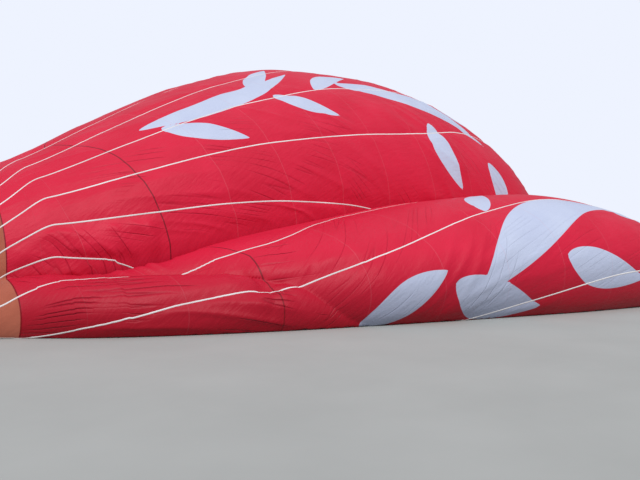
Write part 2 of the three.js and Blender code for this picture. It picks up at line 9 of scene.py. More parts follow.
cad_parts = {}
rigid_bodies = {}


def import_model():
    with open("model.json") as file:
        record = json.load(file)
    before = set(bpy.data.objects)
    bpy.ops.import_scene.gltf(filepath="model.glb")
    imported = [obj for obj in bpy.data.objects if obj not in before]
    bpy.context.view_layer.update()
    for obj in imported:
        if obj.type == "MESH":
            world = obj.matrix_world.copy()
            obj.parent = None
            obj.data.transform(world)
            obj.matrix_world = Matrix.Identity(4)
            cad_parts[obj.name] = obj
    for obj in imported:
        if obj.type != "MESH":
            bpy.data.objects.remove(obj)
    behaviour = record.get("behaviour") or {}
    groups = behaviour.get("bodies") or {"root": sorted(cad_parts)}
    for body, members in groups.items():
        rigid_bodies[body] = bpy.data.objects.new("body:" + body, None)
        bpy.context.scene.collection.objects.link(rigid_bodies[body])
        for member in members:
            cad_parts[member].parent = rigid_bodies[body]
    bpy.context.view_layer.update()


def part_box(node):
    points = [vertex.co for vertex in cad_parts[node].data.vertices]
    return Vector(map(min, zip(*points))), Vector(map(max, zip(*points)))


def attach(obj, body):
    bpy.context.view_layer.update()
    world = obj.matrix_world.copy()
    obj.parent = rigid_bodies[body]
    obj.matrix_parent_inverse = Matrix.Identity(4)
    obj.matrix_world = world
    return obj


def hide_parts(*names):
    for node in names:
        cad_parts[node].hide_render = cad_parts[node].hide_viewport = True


for spare in list(bpy.data.objects):
    bpy.data.objects.remove(spare)
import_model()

# Where the balloon is seen from
# A bystander's eye on level ground, looking across the wind at the near flank of the cloth.
# The cloth's own zero is the mouth's edge, and the basket's middle gives the line along Y.
BASKET_Y = 0.3
EYE = (-2.3, -13.4, 1.6)
EYE_TURN = -45
LENS = 36.1
ZERO_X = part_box("mouth_band")[0][0]
ZERO_Y = sum(corner[1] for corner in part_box("basket_floor")) / 2 - BASKET_Y

def own(x, y, z):
    """A place in the balloon's own measures, as a place in the frame."""
    return Vector((x + ZERO_X, y + ZERO_Y, z))

eye = bpy.data.objects.new("eye", bpy.data.cameras.new("eye"))
eye.location = own(*EYE)
eye.rotation_euler = (math.radians(90), 0, math.radians(EYE_TURN))
eye.data.sensor_width = 36
eye.data.lens = LENS
eye.data.clip_end = 1200
bpy.context.scene.collection.objects.link(eye)
bpy.context.scene.camera = eye

# Gores
# The envelope is a tall ball cut into 24 gores of coated ripstop nylon, each sewn up from
# panels. It lies on its side, part filled with cold air, so the cloth makes up to four humps
# at each station: a roll and a fold at the near edge, the main dome and a fold behind it.
GORES = 24
FIRST_GORE = -9
LAST_SEAM = FIRST_GORE + GORES
MOUTH_BAND = 1.6
VENT_X = 19.2
FOLD_BELLY = 0.32
LIE = {
    "x": (0, 1.5, 2.4, 4, 5.5, 7, 10, 12.5, 15, 16.8, 18, 18.8, 19.2),
    "near": (-1.65, -2.5, -3.35, -4.4, -5.15, -5.75, -6.85, -7.65, -8.1, -7.4, -6, -3.95, -1.3),
    "far": (1.8, 2.3, 2.94, 4.4, 5.35, 6.2, 7.7, 8.6, 8.8, 8, 6.4, 4.5, 3),
    "dome centre": (0.3, 0.2, 0.25, 0.45, 0.7, 1, 1.45, 1.5, 1.4, 1.2, 0.9, 0.8, 0.8),
    "dome half": (1.9, 2.2, 2.54, 3.3, 3.8, 4.3, 5.1, 5.6, 5.8, 5.4, 4.5, 3.2, 2.4),
    "dome height": (2.5, 2.85, 3.2, 4.08, 4.9, 5.6, 6.52, 6.66, 6.08, 5.15, 4.32, 3.45, 2.8),
    "dome belly": (0.4, 0.4, 0.4, 0.4, 0.4, 0.4, 0.4, 0.38, 0.33, 0.26, 0.22, 0.2, 0.2),
    "fold half": (0.1, 0.2, 0.4, 0.9, 1.6, 2.3, 2.35, 2.3, 2.2, 2.1, 1.75, 1.36, 0.5),
    "fold inset": (0.6, 0.5, 0.5, 0.9, 0.42, 0, 0, 0, 0, 0, 0, 0, 0),
    "fold height": (0.1, 0.5, 0.8, 1.24, 1.63, 1.93, 2.5, 2.7, 2.4, 1.8, 1.2, 0.9, 0.6),
    "back half": (0.1, 0.3, 0.58, 1.2, 1.5, 1.8, 2.1, 2.2, 2.1, 1.7, 1.2, 0.8, 0.5),
    "back height": (0.1, 0.4, 0.61, 1, 1.3, 1.6, 2.2, 2.4, 2.2, 1.7, 1.1, 0.7, 0.4),
    "roll half": (0.72, 0.85, 1.1, 0.75, 0.5, 0, 0, 0, 0, 0, 0, 0, 0),
    "roll height": (0.9, 0.95, 0.96, 0.95, 0.8, 0, 0, 0, 0, 0, 0, 0, 0),
}
# Places round the cloth are counted in gores, with a seam at each whole number. Near and far
# are where the cloth meets the ground, fold top and crest are the tops of the fold and of the
# dome, and width is a gore's width on the dome's face.
SEAMS = {
    "near": (-7, -7, -7.2, -7.55, -7.7, -7.8, -8.15, -8.35, -8.5, -8.7, -8.7, -8.7, -8.7),
    "far": (8.4, 8, 7.6, 6.9, 6.8, 6.8, 6.8, 6.8, 6.6, 6.4, 6.3, 6.2, 6),
    "fold top": (-5.85, -5.8, -5.75, -5.4, -5.35, -5.85, -6.4, -6.65, -6.6, -6.3, -6.48, -6.5, -6.5),
    "crest": (4, 2.8, 0.95, 0.5, 0.3, 0.15, -0.15, -0.43, -0.85, -1.1, -1.2, -1.2, -1.2),
    "width": (0.4, 0.42, 0.588, 0.9, 1.15, 1.41, 1.9, 2.15, 2.25, 2, 1.4, 0.9, 0.47),
}

def smooth(xs, ys, x):
    """A monotone curve through a table's values, level beyond its ends."""
    width = np.diff(xs)
    rise = np.diff(ys) / width
    slope = np.zeros(len(xs))
    slope[0], slope[-1] = rise[0], rise[-1]
    for i in range(1, len(xs) - 1):
        if rise[i - 1] * rise[i] > 0:
            before = 2 * width[i] + width[i - 1]
            after = width[i] + 2 * width[i - 1]
            slope[i] = (before + after) / (before / rise[i - 1] + after / rise[i])
    x = np.clip(x, xs[0], xs[-1])
    i = np.clip(np.searchsorted(xs, x, side="right") - 1, 0, len(xs) - 2)
    t = (x - np.take(xs, i)) / width[i]
    keep = (1 + 2 * t) * (1 - t) ** 2
    bend = width[i] * t * (1 - t) * ((1 - t) * slope[i] - t * slope[i + 1])
    return keep * np.take(ys, i) + (1 - keep) * np.take(ys, i + 1) + bend

def lie_at(name, x):
    return float(smooth(LIE["x"], LIE[name], x))

def seam_at(name, x):
    return float(smooth(LIE["x"], SEAMS[name], x))

def hump(centre, half, height, belly):
    """An ellipse whose lower part the ground cuts off."""
    return {"centre": centre, "half": half, "middle": belly * height, "rise": (1 - belly) * height}

def humps_at(x):
    lean = math.sqrt(1 - (FOLD_BELLY / (1 - FOLD_BELLY)) ** 2)
    near, far = lie_at("near", x), lie_at("far", x)
    roll, fold, back = (lie_at(name + " half", x) for name in ("roll", "fold", "back"))
    humps = {}
    if roll > 0.05:
        humps["roll"] = hump(near + roll * lean, roll, lie_at("roll height", x), FOLD_BELLY)
    fold_centre = near + fold * lean + lie_at("fold inset", x)
    humps["fold"] = hump(fold_centre, fold, lie_at("fold height", x), FOLD_BELLY)
    humps["dome"] = hump(*(lie_at("dome " + part, x) for part in ("centre", "half", "height", "belly")))
    humps["back"] = hump(far - back * lean, back, lie_at("back height", x), FOLD_BELLY)
    return humps

ARC_STEPS = 240

def open_arc(own_hump, others):
    """The longest stretch of a hump that no other hump covers, from its near side."""
    start = math.pi + math.asin(min(own_hump["middle"] / own_hump["rise"], 1))
    angle = np.linspace(start, math.pi - start, ARC_STEPS + 1)
    y = own_hump["centre"] + own_hump["half"] * np.cos(angle)
    z = np.maximum(0, own_hump["middle"] + own_hump["rise"] * np.sin(angle))
    free = np.ones(len(y), bool)
    for o in others:
        free &= ((y - o["centre"]) / o["half"]) ** 2 + ((z - o["middle"]) / o["rise"]) ** 2 >= 1
    kept = np.flatnonzero(free)
    if not len(kept):
        return np.zeros((0, 2))
    stretches = np.split(kept, np.flatnonzero(np.diff(kept) > 1) + 1)
    longest = max(stretches, key=len)
    return np.column_stack([y[longest], z[longest]])

def station(x):
    """The cloth's line across the balloon at x, and where the seams run along it."""
    humps = humps_at(x)
    arcs, first, top, count = [], {}, {}, 0
    for name, own_hump in humps.items():
        arc = open_arc(own_hump, [o for other, o in humps.items() if other != name])
        if len(arc):
            first[name], top[name] = count, count + int(np.argmax(arc[:, 1]))
            count += len(arc)
            arcs.append(arc)
    line = np.concatenate(arcs)
    run = np.concatenate([[0], np.cumsum(np.hypot(*np.diff(line, axis=0).T))])
    near, far, crest = (seam_at(name, x) for name in ("near", "far", "crest"))
    crest_run, valley_run = run[top["dome"]], run[first["dome"]]
    valley = crest - (crest_run - valley_run) / seam_at("width", x)
    knots = [(near, 0)]
    if "fold" in top:
        knots.append((seam_at("fold top", x), run[top["fold"]]))
    if valley_run > 0:
        knots.append((valley, valley_run))
    knots += [(crest, crest_run), (far, run[-1])]
    return {
        "line": line, "run": run, "knots": knots, "near": near, "far": far,
        "crest": crest_run, "valley": valley_run if "fold" in top else None,
        "above": run[-1], "below": line[-1, 0] - line[0, 0],
    }

def run_to(at, place):
    """How far round the cloth a place lies, from the near edge over the top."""
    if place < at["near"]:
        place += GORES
    if place <= at["far"]:
        return float(np.interp(place, *zip(*at["knots"])))
    return at["above"] + (place - at["far"]) / (at["near"] + GORES - at["far"]) * at["below"]

def cloth_points(at, along):
    """Y and Z of the cloth for runs along it."""
    along = along % (at["above"] + at["below"])
    past = along - at["above"]
    y = np.where(past > 0, at["line"][-1, 0] - past, np.interp(along, at["run"], at["line"][:, 0]))
    z = np.where(past > 0, 0, np.interp(along, at["run"], at["line"][:, 1]))
    return y, z

LATTICE = 256

def noise(a, b, seed):
    """Smooth noise from 0 to 1, the same on each run."""
    grid = np.random.default_rng(seed).random((LATTICE, LATTICE))
    i, j = np.floor(a).astype(int), np.floor(b).astype(int)
    s, t = a - i, b - j
    s, t = s * s * (3 - 2 * s), t * t * (3 - 2 * t)
    def at(di, dj):
        return grid[(i + di) % LATTICE, (j + dj) % LATTICE]
    return (at(0, 0) * (1 - s) + at(1, 0) * s) * (1 - t) + (at(0, 1) * (1 - s) + at(1, 1) * s) * t

def step(low, high, value):
    t = np.clip((value - low) / (high - low), 0, 1)
    return t * t * (3 - 2 * t)

def window(value, low, high, soft):
    """1 between low and high, fading to 0 over soft outside them."""
    return step(low - soft, low, value) * (1 - step(high, high + soft, value))

def creases(a, b, turn, length, spacing, seed):
    """Thin ridges that run in one direction, from 0 to 1."""
    c, s = math.cos(math.radians(turn)), math.sin(math.radians(turn))
    n = noise((a * c + b * s) / length, (b * c - a * s) / spacing, seed)
    return (1 - np.abs(2 * n - 1)) ** 2

# Creases in the cloth: window along X, window round the cloth in gores, direction in degrees
# from the tapes toward the crest, length, spacing and depth in metres, and the seed
CREASES = (
    ((3.8, 8.4, 1), (-4.4, -2.7, 0.4), -22, 2.4, 0.26, 0.03, 11),
    ((8, 13, 1.2), (-4.7, -2.6, 0.5), -50, 2.2, 0.34, 0.045, 12),
    ((1.9, 3.8, 0.3), (-5.6, -4.3, 0.3), -52, 0.8, 0.28, 0.1, 13),
    ((4.6, 6.6, 0.4), (-6.8, -5.9, 0.2), 52, 0.8, 0.22, 0.045, 14),
    ((6.4, 9.6, 0.7), (-7.9, -6.8, 0.3), 33, 1.3, 0.24, 0.035, 15),
    ((2, 5.2, 0.5), (-8.4, -7.1, 0.2), -13, 2.4, 0.17, 0.045, 16),
    ((2.2, 5.2, 0.5), (-7, -6.2, 0.2), -9, 2, 0.2, 0.032, 17),
    ((9, 16, 1), (-8.6, -7.3, 0.3), 8, 2, 0.24, 0.025, 18),
    ((3, 18, 1), (-20, 20, 1), -14, 2.6, 0.8, 0.025, 19),
    ((2, 8, 1), (-2.4, 6, 1), -30, 1.8, 0.3, 0.025, 20),
    ((8, 18, 1), (-2, 8, 1), 35, 1.8, 0.32, 0.022, 21),
    ((15.5, 19.3, 0.7), (-9, 8, 1), 4, 1.4, 0.22, 0.025, 22),
)
# Finer pleats of the same kind, which the material draws, with their strength in place of the
# depth and the seed
PLEATS = (
    ((3.6, 9, 0.8), (-4.4, -2.5, 0.3), -20, 4, 0.2, 1),
    ((9, 14, 0.8), (-4.8, -2.6, 0.5), -50, 4, 0.22, 0.8),
    ((1.8, 3.4, 0.3), (-5.6, -4.3, 0.2), -50, 1.6, 0.16, 1),
    ((5.8, 9.6, 0.5), (-7.9, -5.9, 0.2), 38, 2.4, 0.18, 0.7),
    ((1.7, 5.6, 0.5), (-8.6, -6.2, 0.2), -12, 4, 0.11, 1.7),
    ((9.6, 19, 0.6), (-8.8, -6.8, 0.3), 12, 3.4, 0.18, 0.45),
)
# The star of folds where the roll is pinched
PINCH = {"x": 5.05, "place": -6.88, "reach": 0.55, "rays": 7, "dent": 0.11, "ridge": 0.07}
# How far the cloth puffs between its tapes for each metre of gore, how still the tapes hold it,
# how it gathers on them, how it drops between two humps, and how high it lies off the ground
PILLOW = 0.013
TAPE_HOLD, TAPE_REACH = 0.85, 0.13
GATHER_DEPTH, GATHER_REACH, GATHER_PITCH = 0.006, 0.16, 0.11
VALLEY_DEPTH, VALLEY_REACH = 0.3, 0.13
LIFT, RIPPLE, LOWEST = 0.009, 0.012, 0.004
PLAIN_CREASE = 0.35

def gore_width(at_x):
    """The width of a gore in the middle of a window along X."""
    return seam_at("width", (at_x[0] + at_x[1]) / 2)

def relief(x, place, width, valley, z):
    """How far the cloth stands out of its smooth lie, in metres."""
    middle = np.abs(2 * (place - np.floor(place)) - 1)
    from_seam = (1 - middle) * width / 2
    slack = 1 - TAPE_HOLD * np.exp(-(from_seam / TAPE_REACH) ** 2)
    out = PILLOW * width * (1 - middle ** 2.5)
    for at_x, at_place, turn, length, spacing, depth, seed in CREASES:
        across = (place + GORES) * gore_width(at_x)
        share = slack * window(x, *at_x) * window(place, *at_place)
        patch = step(0.3, 0.7, noise(x / 1.7 + 40, across / 1.3 + 40, seed + 50))
        strength = depth * (PLAIN_CREASE + (1 - PLAIN_CREASE) * patch)
        out = out + share * strength * creases(x, across, turn, length, spacing, seed)
    gather = np.exp(-from_seam / GATHER_REACH) * noise(x / GATHER_PITCH, place.round() * 7.3, 21)
    out = out + GATHER_DEPTH * gather * noise(x / 1.3, place.round() * 3.1, 22)
    a, b = x - PINCH["x"], (place - PINCH["place"]) * width
    reach = np.hypot(a, b) / PINCH["reach"]
    rays = np.abs(np.cos(PINCH["rays"] / 2 * np.arctan2(b, a) + 0.4 + reach))
    pinch = PINCH["ridge"] * rays * reach - PINCH["dent"] * np.exp(-4 * reach ** 2)
    out = out + pinch * np.exp(-reach ** 2)
    return out * step(0, 0.25, z) * (1 - np.exp(-(valley / VALLEY_REACH) ** 2))

def cloth_band(stations, first, last, columns):
    """Points and fabric measures of the gores from one seam to another, a row a station."""
    places = np.linspace(first, last, (last - first) * columns + 1)
    seams = np.arange(first, last + 1)
    rows, crests, valleys, widths = [], [], [], []
    for x in stations:
        at = station(x)
        girth = at["above"] + at["below"]
        runs = np.array([run_to(at, float(seam if seam < LAST_SEAM else seam - GORES)) for seam in seams])
        runs = runs + girth * np.concatenate([[0], np.cumsum(np.diff(runs) < -1e-6)])
        along = np.interp(places, seams, runs)
        step_out = along[1] - along[0], along[-1] - along[-2]
        along = np.concatenate([[along[0] - step_out[0]], along, [along[-1] + step_out[1]]])
        y, z = cloth_points(at, along)
        rows.append(np.column_stack([np.full(len(y), x), y, z]))
        crests.append(along - at["crest"] - (girth if first == FIRST_GORE else 0))
        valley = at["valley"]
        valleys.append(along % girth - valley if valley else np.full(len(y), 9.0))
        widths.append(np.interp(places, seams[:-1] + 0.5, np.diff(runs)))
    smooth_cloth = np.array(rows)
    across = np.gradient(smooth_cloth, axis=1)
    onward = np.gradient(smooth_cloth, np.array(stations), axis=0)
    normal = np.cross(onward, across)
    normal /= np.maximum(np.linalg.norm(normal, axis=2, keepdims=True), 1e-9)
    smooth_cloth, normal = smooth_cloth[:, 1:-1], normal[:, 1:-1]
    crest, valley = np.array(crests)[:, 1:-1], np.array(valleys)[:, 1:-1]
    x = smooth_cloth[..., 0]
    place = np.broadcast_to(places, x.shape)
    height = smooth_cloth[..., 2]
    points = smooth_cloth + normal * relief(x, place, np.array(widths), valley, height)[..., None]
    points[..., 2] -= VALLEY_DEPTH * step(0.2, 0.8, height) * np.exp(-(valley / VALLEY_REACH) ** 2)
    ripple = LIFT + RIPPLE * creases(x, crest, 8, 1.2, 0.3, 31)
    points[..., 2] = np.maximum(points[..., 2], np.where(height < 0.001, ripple, LOWEST))
    points += own(0, 0, 0)
    return {"points": points, "normal": normal, "place": place, "x": x, "crest": crest}

def stations_between(start, end, pitch):
    return list(np.linspace(start, end, max(2, round((end - start) / pitch) + 1)))

def settle(piece, finish, slot, body, *stands_for):
    """Puts a finished piece on its body, in place of the nodes named."""
    bpy.context.scene.collection.objects.link(piece)
    finish.on(piece)
    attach(piece, body)
    if stands_for:
        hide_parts(*stands_for)
    return piece

def cloth_piece(name, points, quads, finish, slot, body, *stands_for):
    """A smooth sheet or strip made of quads."""
    mesh = bpy.data.meshes.new(name)
    mesh.vertices.add(len(points))
    mesh.vertices.foreach_set("co", np.asarray(points, np.float32).ravel())
    mesh.loops.add(4 * len(quads))
    mesh.loops.foreach_set("vertex_index", np.asarray(quads, np.int32).ravel())
    mesh.polygons.add(len(quads))
    mesh.polygons.foreach_set("loop_start", np.arange(0, 4 * len(quads), 4, dtype=np.int32))
    mesh.update(calc_edges=True)
    mesh.shade_smooth()
    return settle(bpy.data.objects.new(name, mesh), finish, slot, body, *stands_for)

def grid_quads(rows, columns, closed=False):
    """Quads of a grid of points, which may close on itself across its columns."""
    i, j = np.meshgrid(np.arange(rows - 1), np.arange(columns if closed else columns - 1), indexing="ij")
    i, j, k = i.ravel(), j.ravel(), (j.ravel() + 1) % columns
    return np.column_stack([i * columns + j, (i + 1) * columns + j, (i + 1) * columns + k, i * columns + k])

def note_measure(piece, name, values):
    """Keep a measure at each point of a piece for its material to read."""
    flat = np.asarray(values, np.float32)
    kind = "FLOAT_VECTOR" if flat.ndim == 2 else "FLOAT"
    field = piece.data.attributes.new(name, kind, "POINT")
    field.data.foreach_set("vector" if flat.ndim == 2 else "value", flat.ravel())

def srgb(red, green, blue):
    """A colour from the 0 to 255 of a colour chart."""
    def level(value):
        value /= 255
        return value / 12.92 if value <= 0.04045 else ((value + 0.055) / 1.055) ** 2.4
    return (level(red), level(green), level(blue), 1.0)

class Nodes:
    """The few ways in which shader nodes are joined here."""

    def node(self, kind, settings=(), **inputs):
        node = self.tree.nodes.new(kind)
        for name, value in dict(settings).items():
            setattr(node, name, value)
        for name, value in inputs.items():
            self.feed(node.inputs[int(name[1:]) if name[1:].isdigit() else name], value)
        return node

    def feed(self, socket, value):
        if isinstance(value, bpy.types.NodeSocket):
            self.tree.links.new(value, socket)
        else:
            socket.default_value = value

    def math(self, operation, *values):
        inputs = {f"i{k}": value for k, value in enumerate(values)}
        return self.node("ShaderNodeMath", {"operation": operation}, **inputs).outputs[0]

    def measure(self, name):
        return self.node("ShaderNodeAttribute", {"attribute_name": name})

    def split(self, vector):
        return self.node("ShaderNodeSeparateXYZ", i0=vector).outputs

    def join(self, x, y, z=0.0):
        return self.node("ShaderNodeCombineXYZ", i0=x, i1=y, i2=z).outputs[0]

    def place(self):
        return self.node("ShaderNodeTexCoord").outputs["Object"]

    def spread(self, value, low, high, to_low=0.0, to_high=1.0):
        ends = {"i1": low, "i2": high, "i3": to_low, "i4": to_high}
        return self.node("ShaderNodeMapRange", i0=value, **ends).outputs[0]

    def blend(self, share, first, second):
        mix = self.node("ShaderNodeMix", {"data_type": "RGBA"})
        for index, value in ((0, share), (6, first), (7, second)):
            self.feed(mix.inputs[index], value)
        return mix.outputs[2]

    def tint(self, colour, mask, strength, toward):
        """A colour moved part of the way toward another, where the mask is."""
        return self.blend(self.math("MULTIPLY", mask, strength), colour, toward)

    def effect(self, name, **inputs):
        return self.node("ShaderNodeGroup", {"node_tree": bpy.data.node_groups[name]}, **inputs).outputs[0]

    def mottled(self, scale):
        """The mottle effect all over a piece."""
        return self.effect("mottle", Place=self.place(), Scale=scale)

    def fabric(self):
        """The three fabric measures that a piece's mesh carries."""
        return self.split(self.measure("fabric").outputs["Vector"])

class Effect(Nodes):
    """A surface effect that several materials place with their own values."""

    def __init__(self, name, output, **inputs):
        self.tree = bpy.data.node_groups.new(name, "ShaderNodeTree")
        for socket, kind in inputs.items():
            self.tree.interface.new_socket(socket, in_out="INPUT", socket_type="NodeSocket" + kind)
        self.tree.interface.new_socket(output, in_out="OUTPUT", socket_type="NodeSocketFloat")
        self.given = self.tree.nodes.new("NodeGroupInput").outputs

    def gives(self, value):
        self.feed(self.tree.nodes.new("NodeGroupOutput").inputs[0], value)

class Finish(Nodes):
    """A material round its Principled shader."""

    def __init__(self, name, **constants):
        self.material = bpy.data.materials.new(name)
        self.material.use_nodes = True
        self.tree = self.material.node_tree
        self.shader = self.tree.nodes["Principled BSDF"]
        for socket, value in constants.items():
            self.shader.inputs[socket.replace("_", " ")].default_value = value

    def wear(self, colour, roughness=None):
        self.feed(self.shader.inputs["Base Color"], colour)
        if roughness is not None:
            self.feed(self.shader.inputs["Roughness"], roughness)

    def vary(self, share, light, dark, smooth, rough):
        """Colour and roughness that go together from one value to another."""
        self.wear(self.blend(share, srgb(*light), srgb(*dark)), self.spread(share, 0, 1, smooth, rough))

    def raise_by(self, height, distance):
        bump = self.node("ShaderNodeBump", Height=height, Distance=distance)
        self.feed(self.shader.inputs["Normal"], bump.outputs[0])

    def on(self, piece):
        piece.data.materials.clear()
        piece.data.materials.append(self.material)

mottle = Effect("mottle", "Share", Place="Vector", Scale="Float")
cloud = mottle.node("ShaderNodeTexNoise", Vector=mottle.given["Place"], Scale=mottle.given["Scale"],
                    Detail=4.0, Roughness=0.55)
mottle.gives(mottle.spread(cloud.outputs[0], 0.3, 0.7))

ripstop = Effect("ripstop", "Height", Along="Float", Across="Float")
RIP_PITCH = 0.008
along, across = ripstop.given["Along"], ripstop.given["Across"]
lines = [ripstop.spread(ripstop.math("PINGPONG", way, RIP_PITCH / 2), 0.0005, 0.0009, 1, 0)
         for way in (along, across)]
pulled = ripstop.join(ripstop.math("MULTIPLY", along, 1.6), ripstop.math("MULTIPLY", across, 4.5))
crumple = ripstop.node("ShaderNodeTexNoise", Vector=pulled, Scale=2.4, Detail=6.0, Roughness=0.6)
ripstop.gives(ripstop.math("MULTIPLY_ADD", ripstop.math("MAXIMUM", *lines), 0.012, crumple.outputs[0]))

creasing = Effect("creasing", "Ridge", Along="Float", Across="Float", Turn="Float", Length="Float",
                  Spacing="Float")
along, across = creasing.given["Along"], creasing.given["Across"]
cosine, sine = [creasing.math(way, creasing.given["Turn"]) for way in ("COSINE", "SINE")]
ahead = creasing.math("MULTIPLY_ADD", along, cosine, creasing.math("MULTIPLY", across, sine))
aside = creasing.math("SUBTRACT", creasing.math("MULTIPLY", across, cosine),
                      creasing.math("MULTIPLY", along, sine))
flat_place = creasing.join(creasing.math("DIVIDE", ahead, creasing.given["Length"]),
                           creasing.math("DIVIDE", aside, creasing.given["Spacing"]))
bed = creasing.node("ShaderNodeTexNoise", {"noise_dimensions": "2D"}, Vector=flat_place,
                    Scale=1.0, Detail=0.0)
apart = creasing.math("ABSOLUTE", creasing.math("SUBTRACT", bed.outputs[0], 0.5))
creasing.gives(creasing.spread(apart, 0, 0.08, 1, 0))

# Each gore is sewn from panels 1.45 m deep. The panel seams lie square to the tapes where
# the cloth is taut, and trail behind where the near side has been pulled toward the mouth.
PANEL = 1.45
TRAIL = {
    "place": (-8, -6.2, -5.4, -5.1, -4.2, -3.1, -2, -1.1, 0, 3, 6.5),
    "metres": (0.8, 0.8, 1.1, 1.66, 1.84, 2.08, 2.33, 2.64, 2.98, 1.6, 0),
}
TRAIL_START, TRAIL_END = 1.6, 2.6
# Sprigs of white leaves sewn into the cloth: station, place, length, half width, turn in
# degrees and bend of each leaf
LEAVES = (
    (6.7, -1.75, 4.6, 0.34, 6, 0.07), (5.5, -2.45, 1.9, 0.27, -34, 0.05),
    (8.1, -1.15, 2.2, 0.3, 40, -0.06), (8.3, -2.35, 1.8, 0.26, -42, 0.06),
    (9.9, -1.7, 2.0, 0.3, 22, -0.08), (12.4, -2.35, 5.2, 0.5, -34, -0.09),
    (12.0, -3.35, 2.1, 0.34, -78, 0.08), (13.5, -1.45, 2.6, 0.38, 4, 0.08),
    (14.6, -2.6, 2.2, 0.34, -12, 0.07), (14.1, -3.9, 1.9, 0.32, -84, -0.06),
    (11.4, -7.25, 5.4, 0.5, 12, -0.07), (9.3, -7.9, 2.4, 0.36, -24, 0.06),
    (12.3, -7.95, 2.6, 0.38, -18, 0.05), (10.6, -6.55, 2.0, 0.3, 50, -0.06),
    (15.6, -7.1, 4.0, 0.46, 10, 0.07), (15.4, -7.95, 2.4, 0.36, -26, 0.05),
    (7.3, -7.55, 1.7, 0.3, 20, -0.06), (17.4, -2.6, 2.6, 0.4, -30, 0.08),
    (17.2, -0.4, 3.0, 0.4, 6, -0.08),
)
LEAF_REPEAT = 12

def leaf_measure(x, place):
    """How far inside the nearest leaf's edge a point of the cloth lies, in metres."""
    inside = np.full(x.shape, -1.0)
    for leaf_x, leaf_place, length, half_width, turn, bend in LEAVES:
        gore = seam_at("width", leaf_x)
        c, s = math.cos(math.radians(turn)), math.sin(math.radians(turn))
        for repeat in (0, LEAF_REPEAT):
            a, b = x - leaf_x, (place - leaf_place - repeat) * gore
            along = (a * c + b * s) / length + 0.5
            off = b * c - a * s - bend * length * (2 * along - 1) ** 2
            edge = half_width * np.sin(math.pi * np.clip(along, 0, 1) ** 0.75) ** 0.85
            from_tip = np.minimum(along, 1 - along) * length
            inside = np.maximum(inside, np.minimum(edge - np.abs(off), from_tip))
    return inside

CLOTH_X = stations_between(MOUTH_BAND, 10, 0.038) + stations_between(10, VENT_X, 0.06)[1:]
# First seam, last seam and columns of points in a gore: most on the near side, fewest underneath
CLOTH_BANDS = ((-9, 2, 36), (2, 9, 20), (9, 15, 6))
PLEAT_SHADE, PLEAT_DEPTH = 0.17, 0.75
# The cloth is painted darker low down, as shade toward the ground: from full to none by height
LOW_SHADE = (0.2, 1.5, 1, 0)
cloth_red = srgb(222, 33, 66)
cloth_white = srgb(202, 210, 232)

envelope = Finish("envelope_cloth", Specular_IOR_Level=0.2)
fabric = envelope.fabric()
place = envelope.measure("place").outputs["Fac"]
ring = envelope.math("PINGPONG", fabric[2], PANEL / 2)
tape_ring = envelope.math("ABSOLUTE", envelope.math("SUBTRACT", fabric[2], 3 * PANEL))
seam_mask = envelope.spread(ring, 0.005, 0.009, 1, 0)
dark_mask = envelope.math("MAXIMUM", envelope.spread(tape_ring, 0.009, 0.013, 1, 0),
                          envelope.spread(fabric[2], 0.02, 0.024, 1, 0))
panel = envelope.join(envelope.math("FLOOR", envelope.math("DIVIDE", fabric[2], PANEL)),
                      envelope.math("FLOOR", place))
panel_tone = envelope.node("ShaderNodeTexWhiteNoise", {"noise_dimensions": "2D"}, Vector=panel).outputs[0]
flat_place = envelope.join(fabric[0], fabric[1])
soil = envelope.effect("mottle", Place=flat_place, Scale=0.9)
red = envelope.blend(soil, cloth_red, srgb(212, 29, 60))
red = envelope.tint(red, panel_tone, 0.25, srgb(203, 24, 52))
white = envelope.blend(soil, cloth_white, srgb(193, 201, 226))
leaf_mask = envelope.spread(envelope.measure("leaf").outputs["Fac"], -0.004, 0.004)
colour = envelope.blend(leaf_mask, red, white)
colour = envelope.tint(colour, seam_mask, 0.13, srgb(240, 150, 160))
colour = envelope.tint(colour, dark_mask, 0.8, srgb(98, 8, 22))
# Painted shade: the lower the cloth lies, the darker its red and its white are painted
height = envelope.math("MULTIPLY_ADD", soil, 0.25, envelope.split(envelope.place())[2])
low_shade = envelope.spread(height, *LOW_SHADE)
shaded_low_cloth = envelope.blend(leaf_mask, srgb(134, 2, 12), srgb(146, 150, 172))
colour = envelope.tint(colour, low_shade, 0.75, shaded_low_cloth)
sewn = envelope.math("MULTIPLY", envelope.math("MAXIMUM", seam_mask, dark_mask), 0.1)
lift = envelope.math("ADD", envelope.effect("ripstop", Along=fabric[0], Across=fabric[1]), sewn)
masks = [mask for name in ("pleats_1", "pleats_2")
         for mask in envelope.split(envelope.measure(name).outputs["Vector"])]
pleats = None
for mask, (at_x, _, turn, length, spacing, _) in zip(masks, PLEATS):
    across = envelope.math("MULTIPLY", place, gore_width(at_x))
    ridge = envelope.effect("creasing", Along=fabric[0], Across=across, Turn=math.radians(turn),
                            Length=length, Spacing=spacing)
    ridge = envelope.math("MULTIPLY", envelope.math("POWER", ridge, 2.0), mask)
    pleats = ridge if pleats is None else envelope.math("MAXIMUM", pleats, ridge)
shade = envelope.blend(leaf_mask, srgb(96, 8, 22), srgb(128, 134, 160))
colour = envelope.tint(colour, pleats, PLEAT_SHADE, shade)
lift = envelope.math("MULTIPLY_ADD", pleats, -PLEAT_DEPTH, lift)
envelope.wear(colour, envelope.spread(soil, 0, 1, 0.42, 0.52))
envelope.raise_by(lift, 0.015)

